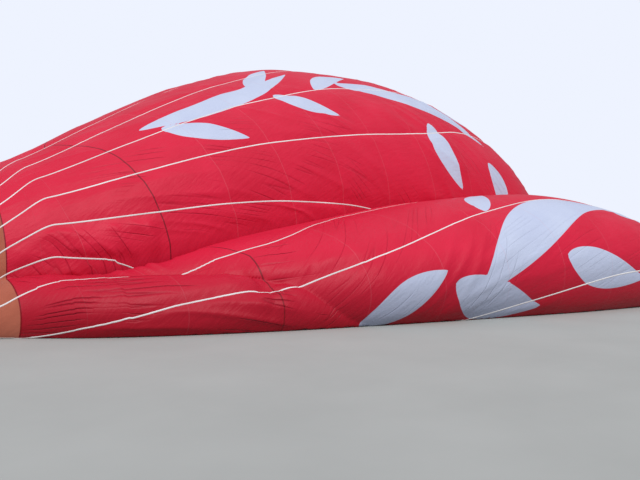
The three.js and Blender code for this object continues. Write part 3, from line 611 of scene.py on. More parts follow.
bands = [(first, columns, cloth_band(CLOTH_X, first, last, columns)) for first, last, columns in CLOTH_BANDS]
for first, columns, band in bands:
    trail = np.interp(band["place"], TRAIL["place"], TRAIL["metres"], right=0)
    ring_run = band["x"] + trail * step(TRAIL_START, TRAIL_END, band["x"]) - MOUTH_BAND
    leaf = leaf_measure(band["x"], band["place"])
    patch = step(0.4, 0.8, noise(band["x"] / 0.8 + 60, band["crest"] / 0.6 + 60, 91))
    pleated = [strength * patch * window(band["x"], *at_x) * window(band["place"], *at_place)
               for at_x, at_place, _, _, _, strength in PLEATS]
    for k in range((band["points"].shape[1] - 1) // columns):
        number = first + k - FIRST_GORE + 1
        cut = np.s_[:, k * columns:(k + 1) * columns + 1]
        points = band["points"][cut]
        rows, wide = points.shape[:2]
        gore = cloth_piece(f"gore_cloth_{number:02d}", points.reshape(-1, 3), grid_quads(rows, wide),
                           envelope, "envelope_cloth", "balloon_body", f"gore_{number:02d}")
        fabric_measure = np.stack([band["x"][cut], band["crest"][cut], ring_run[cut]], axis=-1)
        note_measure(gore, "fabric", fabric_measure.reshape(-1, 3))
        note_measure(gore, "leaf", leaf[cut].ravel())
        note_measure(gore, "place", band["place"][cut].ravel())
        for half in (0, 1):
            share = np.stack([shares[cut] for shares in pleated[3 * half:3 * half + 3]], axis=-1)
            note_measure(gore, f"pleats_{half + 1}", share.reshape(-1, 3))

# Mouth band
# A ring of heat-proof aramid cloth, 1.6 m deep, so that the burner can't scorch the nylon.
# Its edge is bound with webbing and hangs in shallow scallops between the flying wires.
SCALLOP, SCALLOP_REACH, MOUTH_COLUMNS, MOUTH_GIRTH = 0.05, 0.5, 12, 13.0
mouth = cloth_band(stations_between(0, MOUTH_BAND, 0.036), FIRST_GORE, LAST_SEAM, MOUTH_COLUMNS)
middle = np.abs(2 * (mouth["place"] % 1) - 1)
fading = np.clip(1 - mouth["x"] / SCALLOP_REACH, 0, 1) ** 2
mouth["points"][..., 0] += SCALLOP * (1 - middle ** 2) * fading

weave = Effect("weave", "Height", Along="Float", Across="Float", Pitch="Float")
turns = [weave.math("MULTIPLY", weave.given[way], math.tau) for way in ("Along", "Across")]
waves = [weave.math("SINE", weave.math("DIVIDE", turn, weave.given["Pitch"])) for turn in turns]
weave.gives(weave.math("MULTIPLY", *waves))

aramid = Finish("heat_cloth", Sheen_Weight=0.2)
fabric = aramid.fabric()
flat_place = aramid.join(fabric[0], fabric[1])
soil = aramid.effect("mottle", Place=flat_place, Scale=1.6)
colour = aramid.blend(soil, srgb(186, 100, 74), srgb(168, 86, 64))
colour = aramid.blend(aramid.spread(fabric[0], 0.03, 0.034, 1, 0), colour, srgb(206, 196, 186))
weft = aramid.effect("weave", Along=fabric[0], Across=fabric[1], Pitch=0.005)
lift = aramid.math("MULTIPLY_ADD", weft, 0.1, aramid.effect("mottle", Place=flat_place, Scale=9))
aramid.wear(colour, aramid.spread(soil, 0, 1, 0.8, 0.92))
aramid.raise_by(lift, 0.004)

points = mouth["points"][:, :-1]
quads = grid_quads(*points.shape[:2], closed=True)
mouth_cloth = cloth_piece("mouth_band_cloth", points.reshape(-1, 3), quads, aramid, "heat_cloth",
                          "balloon_body", "mouth_band")
measures = np.stack([mouth["x"], mouth["crest"], mouth["x"]], axis=-1)[:, :-1]
note_measure(mouth_cloth, "fabric", measures.reshape(-1, 3))

# Load tapes
# Polyester webbing sewn into every vertical seam from the mouth to the vent, which carries
# all the load. At the crown the 24 tapes go on over the vent as straps, to a ring.
TAPE_WIDTH, TAPE_THICK, STITCH_LENGTH = 0.028, 0.0025, 0.003
webbing = Finish("webbing", Sheen_Weight=0.15)
fabric = webbing.fabric()
soil = webbing.mottled(1.4)
colour = webbing.blend(soil, srgb(252, 249, 248), srgb(230, 222, 220))
row = webbing.spread(webbing.math("PINGPONG", fabric[1], TAPE_WIDTH / 3), 0.0008, 0.0014, 1, 0)
gap = webbing.spread(webbing.math("PINGPONG", fabric[0], STITCH_LENGTH), 0.001, 0.0014)
stitch = webbing.math("MULTIPLY", row, gap)
colour = webbing.tint(colour, stitch, 0.4, srgb(170, 150, 145))
rib = webbing.effect("weave", Along=fabric[0], Across=fabric[1], Pitch=0.004)
webbing.wear(colour, webbing.spread(soil, 0, 1, 0.7, 0.85))
webbing.raise_by(webbing.math("SUBTRACT", rib, stitch), 0.0006)

def tape_line(place):
    """Middle points, outward ways and ways across of one seam, mouth to vent."""
    lines = []
    for band in [mouth] + [band for _, _, band in bands]:
        wide = band["points"].shape[1]
        at = np.flatnonzero(np.isclose(band["place"][0] % GORES, place % GORES))
        if not len(at):
            continue
        j = int(at[0])
        before, after = max(j - 1, 0), min(j + 1, wide - 1)
        across = band["points"][:, after] - band["points"][:, before]
        across /= np.linalg.norm(across, axis=1, keepdims=True)
        lines.append((band["points"][:, j], band["normal"][:, j], across))
        if len(lines) == 2:
            break
    return [np.concatenate([lines[0][k], lines[1][k][1:]]) for k in range(3)]

CROWN_RING = own(VENT_X + 0.2, LIE["dome centre"][-1], 1.25)
CROWN_RADIUS = 0.16
TAPE_SECTION = ((-0.5, -0.0008), (-0.49, TAPE_THICK), (0.49, TAPE_THICK), (0.5, -0.0008))
tape_points, tape_quads, tape_measures, count = [], [], [], 0
for place in range(FIRST_GORE, LAST_SEAM):
    middle, normal, across = tape_line(place)
    angle = math.pi / 2 - (place - seam_at("crest", VENT_X)) * 2 * math.pi / GORES
    out = np.array([0, math.cos(angle), math.sin(angle)])
    end = np.array(CROWN_RING) + out * (CROWN_RADIUS - 0.012) + np.array([0.004, 0, 0])
    start = middle[-1]
    t = np.linspace(0, 1, 15)[1:, None]
    bend = start * 0.45 + end * 0.55 + np.array([0.5 * (end[0] - start[0]) + 0.02, 0, 0])
    strap = (1 - t) ** 2 * start + 2 * t * (1 - t) * bend + t ** 2 * end
    strap[:, 2] = np.maximum(strap[:, 2], 0.02)
    ahead = np.gradient(np.concatenate([middle[-1:], strap]), axis=0)[1:]
    level = np.array([0, math.sin(angle), -math.cos(angle)])
    side = across[-1] * (1 - t) + level * t
    side /= np.linalg.norm(side, axis=1, keepdims=True)
    up = np.cross(ahead, side)
    up /= np.linalg.norm(up, axis=1, keepdims=True)
    middle, across = np.concatenate([middle, strap]), np.concatenate([across, side])
    normal = np.concatenate([normal, up])
    length = np.concatenate([[0], np.cumsum(np.linalg.norm(np.diff(middle, axis=0), axis=1))])
    corners = len(TAPE_SECTION)
    rows = [middle + across * off * TAPE_WIDTH + normal * rise for off, rise in TAPE_SECTION]
    tape_points.append(np.stack(rows, axis=1).reshape(-1, 3))
    tape_quads.append(grid_quads(len(middle), corners, closed=True) + count)
    offs = np.tile([off * TAPE_WIDTH for off, _ in TAPE_SECTION], len(middle))
    tape_measures.append(np.column_stack([np.repeat(length, corners), offs, np.zeros(len(offs))]))
    count += len(middle) * corners
load_tapes = cloth_piece("load_tapes_webbing", np.concatenate(tape_points), np.concatenate(tape_quads),
                         webbing, "webbing", "balloon_body", "load_tapes")
note_measure(load_tapes, "fabric", np.concatenate(tape_measures))

# Crown ring
# A cast alloy ring at the very top of the envelope, which the ends of all 24 load tapes are
# looped round. The crown line that steadies the envelope is tied to it in flight.
def closing(last, sides):
    """Faces that join a form's last ring of points to its first."""
    return [[last + k, k, (k + 1) % sides, last + (k + 1) % sides] for k in range(sides)]

def spokes(count, start=0.0):
    """Even ways out round X."""
    for angle in math.tau * (np.arange(count) + start) / count:
        yield Vector((0, math.cos(angle), math.sin(angle)))

class Form:
    """Points and faces of one rigid piece, put together from simple bodies."""

    def __init__(self):
        self.points, self.faces, self.count = [], [], 0

    def add(self, points, faces):
        points = np.asarray(points, float).reshape(-1, 3)
        self.points.append(points)
        self.faces += [[corner + self.count for corner in face] for face in faces]
        self.count += len(points)
        return self

    def tube(self, path, radius, sides=12, closed=False, level=(1, 0, 0), flat=1.0):
        """A bar that follows a path; flat is its thickness square to level, against radius."""
        path, level = np.asarray(path, float), np.asarray(level, float)
        ahead = np.roll(path, -1, 0) - np.roll(path, 1, 0) if closed else np.gradient(path, axis=0)
        ahead /= np.linalg.norm(ahead, axis=1, keepdims=True)
        first = level - ahead * (ahead @ level)[:, None]
        first /= np.linalg.norm(first, axis=1, keepdims=True)
        second = np.cross(ahead, first)
        angle = np.arange(sides) * 2 * math.pi / sides
        radius = np.broadcast_to(np.asarray(radius, float), len(path))[:, None, None]
        ring = first[:, None] * np.cos(angle)[:, None] + second[:, None] * np.sin(angle)[:, None] * flat
        last = (len(path) - 1) * sides
        faces = grid_quads(len(path), sides, closed=True).tolist()
        if closed:
            faces += closing(last, sides)
        else:
            faces += [list(range(sides)), [last + k for k in reversed(range(sides))]]
        return self.add(path[:, None] + ring * radius, faces)

    def turned(self, profile, base, way, sides, hollow=False):
        """A body turned on a lathe: radius and height pairs from a base point along a way."""
        way = Vector(way).normalized()
        first = way.orthogonal().normalized()
        second = way.cross(first)
        angle = np.arange(sides) * 2 * math.pi / sides
        ring = np.outer(np.cos(angle), first) + np.outer(np.sin(angle), second)
        points = [np.asarray(base) + ring * radius + np.asarray(way) * height
                  for radius, height in profile]
        faces = grid_quads(len(profile), sides, closed=True).tolist()
        last = (len(profile) - 1) * sides
        if hollow:
            faces += closing(last, sides)
        if profile[0][0] > 0 and not hollow:
            faces.append(list(range(sides)))
        if profile[-1][0] > 0 and not hollow:
            faces.append([last + k for k in reversed(range(sides))])
        return self.add(np.concatenate(points), faces)

    def block(self, size, centre, bevel, turn=None):
        """A box with rounded edges, or sharp ones, turned about its centre by a matrix."""
        build = bmesh.new()
        bmesh.ops.create_cube(build, size=1)
        bmesh.ops.scale(build, vec=size, verts=build.verts)
        if bevel:
            bmesh.ops.bevel(build, geom=build.edges[:], offset=bevel, segments=3, affect="EDGES",
                            profile=0.5)
        build.verts.index_update()
        turn = turn or Matrix.Identity(3)
        points = [turn @ v.co + Vector(centre) for v in build.verts]
        faces = [[v.index for v in face.verts] for face in build.faces]
        build.free()
        return self.add(points, faces)

    def piece(self, name, finish, slot, body, *stands_for, crisp=35):
        """The whole form as one object; edges that turn more than crisp degrees stay sharp."""
        mesh = bpy.data.meshes.new(name)
        mesh.from_pydata(np.concatenate(self.points).tolist(), [], self.faces)
        build = bmesh.new()
        build.from_mesh(mesh)
        bmesh.ops.recalc_face_normals(build, faces=build.faces)
        build.to_mesh(mesh)
        build.free()
        mesh.shade_smooth()
        mesh.set_sharp_from_angle(angle=math.radians(crisp))
        return settle(bpy.data.objects.new(name, mesh), finish, slot, body, *stands_for)

alloy = Finish("cast_alloy", Metallic=1.0)
share = alloy.mottled(14)
alloy.vary(share, (176, 178, 182), (148, 150, 154), 0.32, 0.5)
alloy.raise_by(share, 0.001)
CROWN_PROFILE = ((0.052, -0.012), (0.05, -0.008), (0.052, -0.002), (0.06, 0), (0.148, 0), (0.157, -0.003),
                 (CROWN_RADIUS, -0.008), (0.157, -0.012))
CROWN_RIVET, RIVET_REACH = ((0.006, 0), (0.006, 0.003), (0.004, 0.005)), 0.128
crown = Form().turned(CROWN_PROFILE, CROWN_RING, (1, 0, 0), 72, hollow=True)
for out in spokes(GORES, 0.5):
    crown.turned(CROWN_RIVET, CROWN_RING + out * RIVET_REACH, (1, 0, 0), 12)
crown.piece("crown_ring", alloy, "webbing", "balloon_body")

# Parachute valve
# A loose disc of the envelope's own cloth that closes the opening at the crown from inside.
# A line to the basket draws it toward the mouth and lets hot air out round its hem.
VALVE_RIM, VALVE_TOP = VENT_X - 0.08, VENT_X + 0.184
VALVE_OVERLAP, VALVE_LOW, VALVE_PATCH = 1.03, 0.034, 0.15
VALVE_POINTS, VALVE_RINGS = 360, 34
FLUTE_DEPTH, RUFFLE_DEPTH = 0.012, 0.02
at_vent = station(VENT_X)
rim_run = np.linspace(0, at_vent["above"] + at_vent["below"], VALVE_POINTS + 1)[:-1]
vent_y, vent_z = cloth_points(at_vent, rim_run)
hub = np.array(CROWN_RING - own(0, 0, 0))
share = np.repeat(np.linspace(0.002, 1, VALVE_RINGS)[:, None], VALVE_POINTS, axis=1)
valve_y = hub[1] + (vent_y - hub[1]) * share * VALVE_OVERLAP
valve_z = np.maximum(hub[2] + (vent_z - hub[2]) * share * VALVE_OVERLAP, VALVE_LOW)
bearing = np.arctan2(valve_z - hub[2], valve_y - hub[1])
flutes = FLUTE_DEPTH * (1 - np.cos(bearing * GORES)) * share ** 2
flutes = flutes + RUFFLE_DEPTH * noise(6 * bearing + 40, 4 * share, 61) * share
valve_x = VALVE_TOP - (VALVE_TOP - VALVE_RIM) * share ** 2 - flutes

valve_finish = Finish("valve_cloth", Specular_IOR_Level=0.3)
fabric = valve_finish.fabric()
soil = valve_finish.mottled(0.9)
colour = valve_finish.blend(soil, cloth_red, srgb(210, 26, 50))
hem = valve_finish.spread(fabric[2], 0.982, 0.984)
patch = valve_finish.spread(fabric[0], VALVE_PATCH, VALVE_PATCH + 0.003, 1, 0)
colour = valve_finish.blend(valve_finish.math("MAXIMUM", hem, patch), colour, srgb(226, 220, 212))
valve_finish.wear(colour, valve_finish.spread(soil, 0, 1, 0.5, 0.6))
across = valve_finish.math("MULTIPLY", fabric[1], fabric[0])
valve_finish.raise_by(valve_finish.effect("ripstop", Along=fabric[0], Across=across), 0.01)

points = np.stack([valve_x, valve_y, valve_z], axis=-1) + np.array(own(0, 0, 0))
quads = grid_quads(*points.shape[:2], closed=True)
valve = cloth_piece("valve_cloth", points.reshape(-1, 3), quads, valve_finish, "envelope_cloth",
                    "valve", "parachute_valve")
out = np.hypot(valve_y - hub[1], valve_z - hub[2])
note_measure(valve, "fabric", np.stack([out, bearing, share], axis=-1).reshape(-1, 3))

# Basket walls
# Whole canes woven round upright stakes in one piece with the floor, and varnished. Three
# courses of dark cane run round it near the top and the foot. It lies on its side.
AXIS_Y, AXIS_Z = 0.3, 0.656
FRAME_X, RIM_X, FLOOR_X = -3.2, -4.23, -5.33
BASKET_LENGTH, BASKET_WIDTH, BASKET_CORNER, BASKET_WALL = 1.7, 1.25, 0.18, 0.028
STAKE_COUNT, STAKE_RADIUS, WEAVER_PITCH, WEAVER_BULGE = 80, 0.0055, 0.0189, 0.004
CANE_SIDES, PER_STAKE, BORDER_RADIUS, BORDER_SIDES = 6, 3, 0.0138, 12
DARK_COURSES = (8, 9, 10, 45, 46, 47)
WALL_TOP, WALL_FOOT = RIM_X - 0.045, FLOOR_X + 0.012
# The gap that a piece keeps from the one it is seated on, under 1 mm
SEAT_GAP = 0.0003

def ring_at(x, inset, count, length=BASKET_LENGTH, width=BASKET_WIDTH, corner=BASKET_CORNER):
    """Even points round a rounded oblong square to X, and the ways out from it."""
    a, b, r = length / 2 - corner, width / 2 - corner, corner - inset
    points, ways = [], []
    for k, (sy, sz) in enumerate(((1, 1), (-1, 1), (-1, -1), (1, -1))):
        for angle in np.radians(np.linspace(90 * k, 90 * k + 90, 25)):
            way = np.array([0, math.cos(angle), math.sin(angle)])
            points.append(np.array([0, sy * a, sz * b]) + r * way)
            ways.append(way)
    points, ways = np.array(points + points[:1]), np.array(ways + ways[:1])
    run = np.concatenate([[0], np.cumsum(np.linalg.norm(np.diff(points, axis=0), axis=1))])
    even = np.arange(count) * run[-1] / count
    points = np.stack([np.interp(even, run, points[:, k]) for k in range(3)], axis=1)
    ways = np.stack([np.interp(even, run, ways[:, k]) for k in range(3)], axis=1)
    return points + np.array(own(x, AXIS_Y, AXIS_Z)), ways / np.linalg.norm(ways, axis=1, keepdims=True)

cane = Finish("cane", Coat_Weight=0.25, Coat_Roughness=0.3)
strand = cane.measure("strand").outputs["Fac"]
grain = cane.mottled(26)
light_cane = cane.blend(grain, srgb(196, 152, 96), srgb(158, 112, 62))
dark_cane = cane.blend(grain, srgb(104, 66, 38), srgb(76, 46, 26))
tone = cane.blend(cane.math("FRACT", strand), light_cane, srgb(176, 128, 74))
colour = cane.blend(cane.math("GREATER_THAN", strand, 1), tone, dark_cane)
colour = cane.tint(colour, cane.mottled(2.2), 0.3, srgb(120, 88, 56))
cane.wear(colour, cane.spread(grain, 0, 1, 0.38, 0.55))
cane.raise_by(grain, 0.0008)
rng = np.random.default_rng(7)
wicker, strands = Form(), []
around = PER_STAKE * STAKE_COUNT
for row in range(int((WALL_TOP - WALL_FOOT) / WEAVER_PITCH)):
    middle, out = ring_at(WALL_FOOT + (row + 0.5) * WEAVER_PITCH, BASKET_WALL / 2, around)
    wave = np.sin(math.pi * (np.arange(around) / PER_STAKE + row))
    middle = middle + out * (WEAVER_BULGE * wave)[:, None]
    middle[:, 0] += 0.0008 * rng.standard_normal(around)
    wicker.tube(middle, WEAVER_PITCH * 0.7, CANE_SIDES, closed=True, flat=0.5)
    shade = np.repeat(rng.random(around // 8 + 1) * 0.9, 8)[:around] + (1.05 if row in DARK_COURSES else 0)
    strands.append(np.repeat(shade, CANE_SIDES))
border, _ = ring_at(FLOOR_X + BORDER_RADIUS + SEAT_GAP, BASKET_WALL / 2, around)
wicker.tube(border, BORDER_RADIUS, BORDER_SIDES, closed=True)
strands.append(np.full(around * BORDER_SIDES, 0.5))
feet, _ = ring_at(0, BASKET_WALL / 2, STAKE_COUNT)
heights = np.linspace(FLOOR_X + 0.002, WALL_TOP - 0.001, 3) + ZERO_X
for _, y, z in feet:
    stake = np.column_stack([heights, np.full(3, y), np.full(3, z)])
    wicker.tube(stake, STAKE_RADIUS, CANE_SIDES, level=(0, 0.6, 0.8))
    strands.append(np.full(3 * CANE_SIDES, 0.4))
walls = wicker.piece("wicker_walls", cane, "wicker", "balloon_body", "basket_walls", crisp=80)
note_measure(walls, "strand", np.concatenate(strands))

# Basket floor
# Sealed birch plywood, screwed down on the runners through the foot of the wicker.
def timber_grain(finish, stretch, scale):
    """The mottle effect, drawn out along the grain of a piece of timber."""
    place = finish.split(finish.place())
    drawn = [finish.math("MULTIPLY", along, times) for along, times in zip(place, stretch)]
    return finish.effect("mottle", Place=finish.join(*drawn), Scale=scale)

plywood = Finish("plywood")
figure = timber_grain(plywood, (30, 2, 26), 1.2)
dirt = plywood.mottled(3)
colour = plywood.blend(figure, srgb(188, 150, 102), srgb(164, 124, 80))
colour = plywood.tint(colour, dirt, 0.35, srgb(104, 84, 62))
plywood.wear(colour, plywood.spread(dirt, 0, 1, 0.42, 0.65))
plywood.raise_by(figure, 0.0006)
FLOOR_PROFILE = ((0, 0.0013), (0.001, SEAT_GAP), (0.016, SEAT_GAP), (0.018, 0.0023))
FLOOR_POINTS = 120
layers = [ring_at(FLOOR_X + height, BASKET_WALL + inset, FLOOR_POINTS)[0] for height, inset in FLOOR_PROFILE]
under = list(range(FLOOR_POINTS))[::-1]
upper = [(len(layers) - 1) * FLOOR_POINTS + k for k in range(FLOOR_POINTS)]
faces = grid_quads(len(layers), FLOOR_POINTS, closed=True).tolist() + [under, upper]
floor_plate = Form().add(np.concatenate(layers), faces)
floor_plate.piece("floor_plate", plywood, "plywood", "balloon_body", "basket_floor")

# Base trim
# A band of thick cowhide over foam round the foot of the wicker, laced on with thong. It takes
# the scraping of a landing, and the basket lies on it here.
TRIM_DEPTH, TRIM_PROUD, HOOP_POINTS = 0.12, 0.031, 240
BASKET_GIRTH = 5.5
LACE_PITCH, LACE_SLANT, LACE_RADIUS, LACE_REACH = 0.045, 0.016, 0.0022, 0.009
hide = Finish("leather", Specular_IOR_Level=0.35)
patina = hide.mottled(3.5)
pores = hide.node("ShaderNodeTexVoronoi", Vector=hide.place(), Scale=420.0).outputs[0]
colour = hide.blend(patina, srgb(126, 82, 48), srgb(92, 56, 32))
scuffs = hide.spread(hide.mottled(48), 0.8, 1, 0, 0.45)
hide.wear(hide.blend(scuffs, colour, srgb(158, 118, 80)), hide.spread(patina, 0, 1, 0.45, 0.68))
hide.raise_by(hide.math("MULTIPLY_ADD", pores, 0.2, patina), 0.0012)

def hoop(form, profile):
    """A closed section of X and inset pairs, carried round the basket."""
    points = np.concatenate([ring_at(x, inset, HOOP_POINTS)[0] for x, inset in profile])
    faces = grid_quads(len(profile), HOOP_POINTS, closed=True).tolist()
    form.add(points, faces + closing((len(profile) - 1) * HOOP_POINTS, HOOP_POINTS))

def lacing(form, x, inset):
    """Slanting thong stitches all round the basket, across an edge at x."""
    for point, way in zip(*ring_at(x, inset, round(BASKET_GIRTH / LACE_PITCH))):
        along = np.cross(way, (1, 0, 0)) * LACE_SLANT / 2
        down, side = np.array([LACE_REACH, 0, 0]), way * LACE_RADIUS
        stitch = [point - along - down - side, point - along * 0.8 - down * 0.8 + side * 0.6, point + side,
                  point + along * 0.8 + down * 0.8 + side * 0.6, point + along + down - side]
        form.tube(stitch, LACE_RADIUS, 6, level=way)

TRIM_TOP = FLOOR_X + TRIM_DEPTH
TRIM_ROLL = ((FLOOR_X, -0.0005), (FLOOR_X, -0.02), (FLOOR_X + 0.004, -0.028),
             (FLOOR_X + 0.014, -TRIM_PROUD), (FLOOR_X + 0.06, -TRIM_PROUD - 0.0004),
             (TRIM_TOP - 0.022, -TRIM_PROUD + 0.001), (TRIM_TOP - 0.008, -0.026),
             (TRIM_TOP - 0.001, -0.012), (TRIM_TOP, -0.004), (TRIM_TOP - 0.002, -0.0005))
TRIM_APRON = ((TRIM_TOP - 0.006, -0.0006), (TRIM_TOP - 0.006, -0.0036), (TRIM_TOP + 0.028, -0.0032),
              (TRIM_TOP + 0.029, -0.0006))
base_trim = Form()
hoop(base_trim, TRIM_ROLL)
hoop(base_trim, TRIM_APRON)
lacing(base_trim, TRIM_TOP + 0.026, -0.003)
trim_leather = base_trim.piece("base_trim_leather", hide, "leather", "balloon_body", "basket_base_trim")

# Basket rim
# A roll of foam and rope covered in cowhide, whose aprons are laced through the wicker on both
# sides. A leather boot at each corner holds the foot of an upright.
RIM_RADIUS, RIM_INSET, RIM_STITCH, RIM_ROWS = 0.045, 0.014, 0.3, 340
RIM_DIP, DIP_WIDTH, RIM_SWELL = 0.0022, 0.006, 0.0008
APRON_TOP, APRON_HEM, APRON_THICK, APRON_LACES = 0.01, 0.1, 0.0034, 0.0026
APRON_INSETS = (-0.0012, BASKET_WALL - 0.0022)
SOCKET_LENGTH, SOCKET_RADIUS = 0.08, 0.038
BOOT = ((0.046, 0.018), (0.041, 0.036), (SOCKET_RADIUS, 0.05), (0.0372, 0.064), (0.0385, 0.07),
        (0.0385, 0.076), (0.036, SOCKET_LENGTH), (0.0305, SOCKET_LENGTH), (0.0305, 0.06))
BOOT_BAND = ((0.0375, 0.046), (0.0412, 0.0475), (0.0412, 0.0535), (0.0375, 0.055))
CORNERS = {"lower_near": (-1, -1), "lower_far": (1, -1), "upper_near": (-1, 1), "upper_far": (1, 1)}
FRAME_LENGTH, FRAME_WIDTH, FRAME_CORNER = 1.24, 1.0, 0.12

def corner_offset(length, width, corner):
    inset = corner * (1 - math.sqrt(0.5))
    return length / 2 - inset, width / 2 - inset

def corner_ends(name):
    """Where an upright leaves the rim, where it meets the load frame, and its way."""
    sy, sz = CORNERS[name]
    by, bz = corner_offset(BASKET_LENGTH - 2 * RIM_INSET, BASKET_WIDTH - 2 * RIM_INSET,
                           BASKET_CORNER - RIM_INSET)
    fy, fz = corner_offset(FRAME_LENGTH, FRAME_WIDTH, FRAME_CORNER)
    foot = own(RIM_X, AXIS_Y + sy * by, AXIS_Z + sz * bz)
    head = own(FRAME_X, AXIS_Y + sy * fy, AXIS_Z + sz * fz)
    return foot, head, (head - foot).normalized()

rim = Form()
ring, _ = ring_at(RIM_X, RIM_INSET, RIM_ROWS)
run = np.arange(RIM_ROWS) * BASKET_GIRTH / RIM_ROWS
seam_dip = np.exp(-(((run + RIM_STITCH / 2) % RIM_STITCH - RIM_STITCH / 2) / DIP_WIDTH) ** 2)
swell = RIM_SWELL * (noise(run / 0.09, run * 0 + 3.5, 71) - 0.5)
rim.tube(ring, RIM_RADIUS - RIM_DIP * seam_dip + swell, 24, closed=True)
for inset in APRON_INSETS:
    hoop(rim, ((RIM_X - APRON_TOP, inset), (RIM_X - APRON_TOP, inset + APRON_THICK),
               (RIM_X - APRON_HEM, inset + APRON_THICK), (RIM_X - APRON_HEM, inset)))
for inset in (-APRON_LACES, BASKET_WALL + APRON_LACES):
    lacing(rim, RIM_X - APRON_HEM + 0.003, inset)
for name in CORNERS:
    foot, _, way = corner_ends(name)
    rim.turned(BOOT, foot, way, 36)
    rim.turned(BOOT_BAND, foot, way, 36, hollow=True)
rim.piece("rim_leather", hide, "leather", "balloon_body", "basket_rim")

# Basket runners
# Three ash rubbing strips under the floor, oiled, with eased ends and coach bolts that clamp
# the floor and the wicker between them.
RUNNER_DEPTH, RUNNER_LENGTH, RUNNER_WIDTH, RUNNER_SPACING = 0.045, 1.5, 0.07, 0.4
BOLTS, BOLT_SPREAD = 5, 0.42
BOLT_HEAD = ((0.013, 0), (0.0125, 0.0015), (0.009, 0.0036), (0.004, 0.0046), (0, 0.0048))
hardwood = Finish("hardwood")
streaks = timber_grain(hardwood, (40, 1.6, 40), 1.6)
dirt = hardwood.mottled(6)
colour = hardwood.blend(streaks, srgb(176, 134, 86), srgb(136, 96, 56))
colour = hardwood.tint(colour, dirt, 0.4, srgb(84, 68, 50))
hardwood.wear(colour, hardwood.spread(dirt, 0, 1, 0.45, 0.7))
hardwood.raise_by(streaks, 0.0012)
bolts = Form()
for k in (1, 2, 3):
    middle = own(FLOOR_X - SEAT_GAP - RUNNER_DEPTH / 2, AXIS_Y, AXIS_Z + (k - 2) * RUNNER_SPACING)
    runner = Form().block((RUNNER_DEPTH, RUNNER_LENGTH, RUNNER_WIDTH), middle, bevel=0.006)
    runner.piece(f"runner_{k}_wood", hardwood, "hardwood", "balloon_body", f"basket_runner_{k}")
    for along in np.linspace(-BOLT_SPREAD, BOLT_SPREAD, BOLTS) * RUNNER_LENGTH:
        bolts.turned(BOLT_HEAD, middle + Vector((-RUNNER_DEPTH / 2 + 0.0005, along, 0)), (-1, 0, 0), 24)
bolts.piece("runner_bolts", alloy, "frame_steel", "balloon_body")

# Uprights
# Padded covers of heavy woven nylon, zipped along their inner side over the rods that carry
# the load frame, and drawn in at both ends with a cord.
UPRIGHT_RADIUS, UPRIGHT_ROWS, UPRIGHT_SIDES = 0.03, 90, 28
HEAD_SOCKET, CORD_SET, CORD_WIDTH = 0.07, 0.022, 0.004
ZIP_SHORT, ZIP_TAPE, ZIP_START, ZIP_PITCH = 0.07, (0.014, 0.0016), 0.04, 0.004
ZIP_TOOTH, ZIP_PULL, PULL_SET = (0.002, 0.005, 0.0016), (0.014, 0.009, 0.004), 0.07
cover_finish = Finish("padded_cover", Sheen_Weight=0.25)
fabric = cover_finish.fabric()
cover_finish.vary(cover_finish.mottled(7), (48, 50, 58), (66, 66, 70), 0.72, 0.88)
thread = cover_finish.effect("weave", Along=fabric[0], Across=fabric[1], Pitch=0.0022)
cover_finish.raise_by(cover_finish.math("ADD", thread, cover_finish.mottled(30)), 0.0007)
zips = Form()
for number, name in enumerate(CORNERS):
    foot, head, way = corner_ends(name)
    start, end = foot + way * (SOCKET_LENGTH + SEAT_GAP), head - way * (HEAD_SOCKET + SEAT_GAP)
    length = (end - start).length
    inward = Vector((0, -CORNERS[name][0], -CORNERS[name][1]))
    inward = (inward - way * inward.dot(way)).normalized()
    side = way.cross(inward)
    t, around = np.meshgrid(np.linspace(0, 1, UPRIGHT_ROWS),
                            np.arange(UPRIGHT_SIDES) * math.tau / UPRIGHT_SIDES, indexing="ij")
    from_end = np.minimum(t, 1 - t) * length
    draw = np.exp(-from_end / 0.012)
    cord = np.exp(-((from_end - CORD_SET) / CORD_WIDTH) ** 2)
    padding = 0.0022 * (noise(t * 22, around * 2.2, 80 + number) - 0.5)
    radius = UPRIGHT_RADIUS - 0.007 * draw - 0.002 * cord + padding + 0.0008 * cord * np.sin(14 * around)
    ring = np.cos(around)[..., None] * np.array(inward) + np.sin(around)[..., None] * np.array(side)
    points = np.array(start) + t[..., None] * np.array(end - start) + ring * radius[..., None]
    last = (UPRIGHT_ROWS - 1) * UPRIGHT_SIDES
    caps = [list(range(UPRIGHT_SIDES)), [last + k for k in range(UPRIGHT_SIDES)]]
    cover = Form().add(points, grid_quads(UPRIGHT_ROWS, UPRIGHT_SIDES, closed=True).tolist() + caps)
    cover = cover.piece(f"upright_cover_{name}", cover_finish, "padded_cover", "balloon_body",
                        f"upright_{name}")
    measures = np.stack([t * length, around * UPRIGHT_RADIUS, t], axis=-1)
    note_measure(cover, "fabric", measures.reshape(-1, 3))
    turn = Matrix((way, side, inward)).transposed()
    tape_at = start.lerp(end, 0.5) + inward * (UPRIGHT_RADIUS + 0.0002)
    zips.block((length - ZIP_SHORT, *ZIP_TAPE), tape_at, 0.0006, turn)
    for tooth in range(int((length - 2 * ZIP_START) / ZIP_PITCH)):
        tooth_at = start + way * (ZIP_START + ZIP_PITCH * tooth) + inward * (UPRIGHT_RADIUS + 0.0014)
        zips.block(ZIP_TOOTH, tooth_at, 0, turn)
    zips.block(ZIP_PULL, start + way * PULL_SET + inward * (UPRIGHT_RADIUS + 0.003), 0.001, turn)
zips.piece("upright_zips", alloy, "padded_cover", "balloon_body")

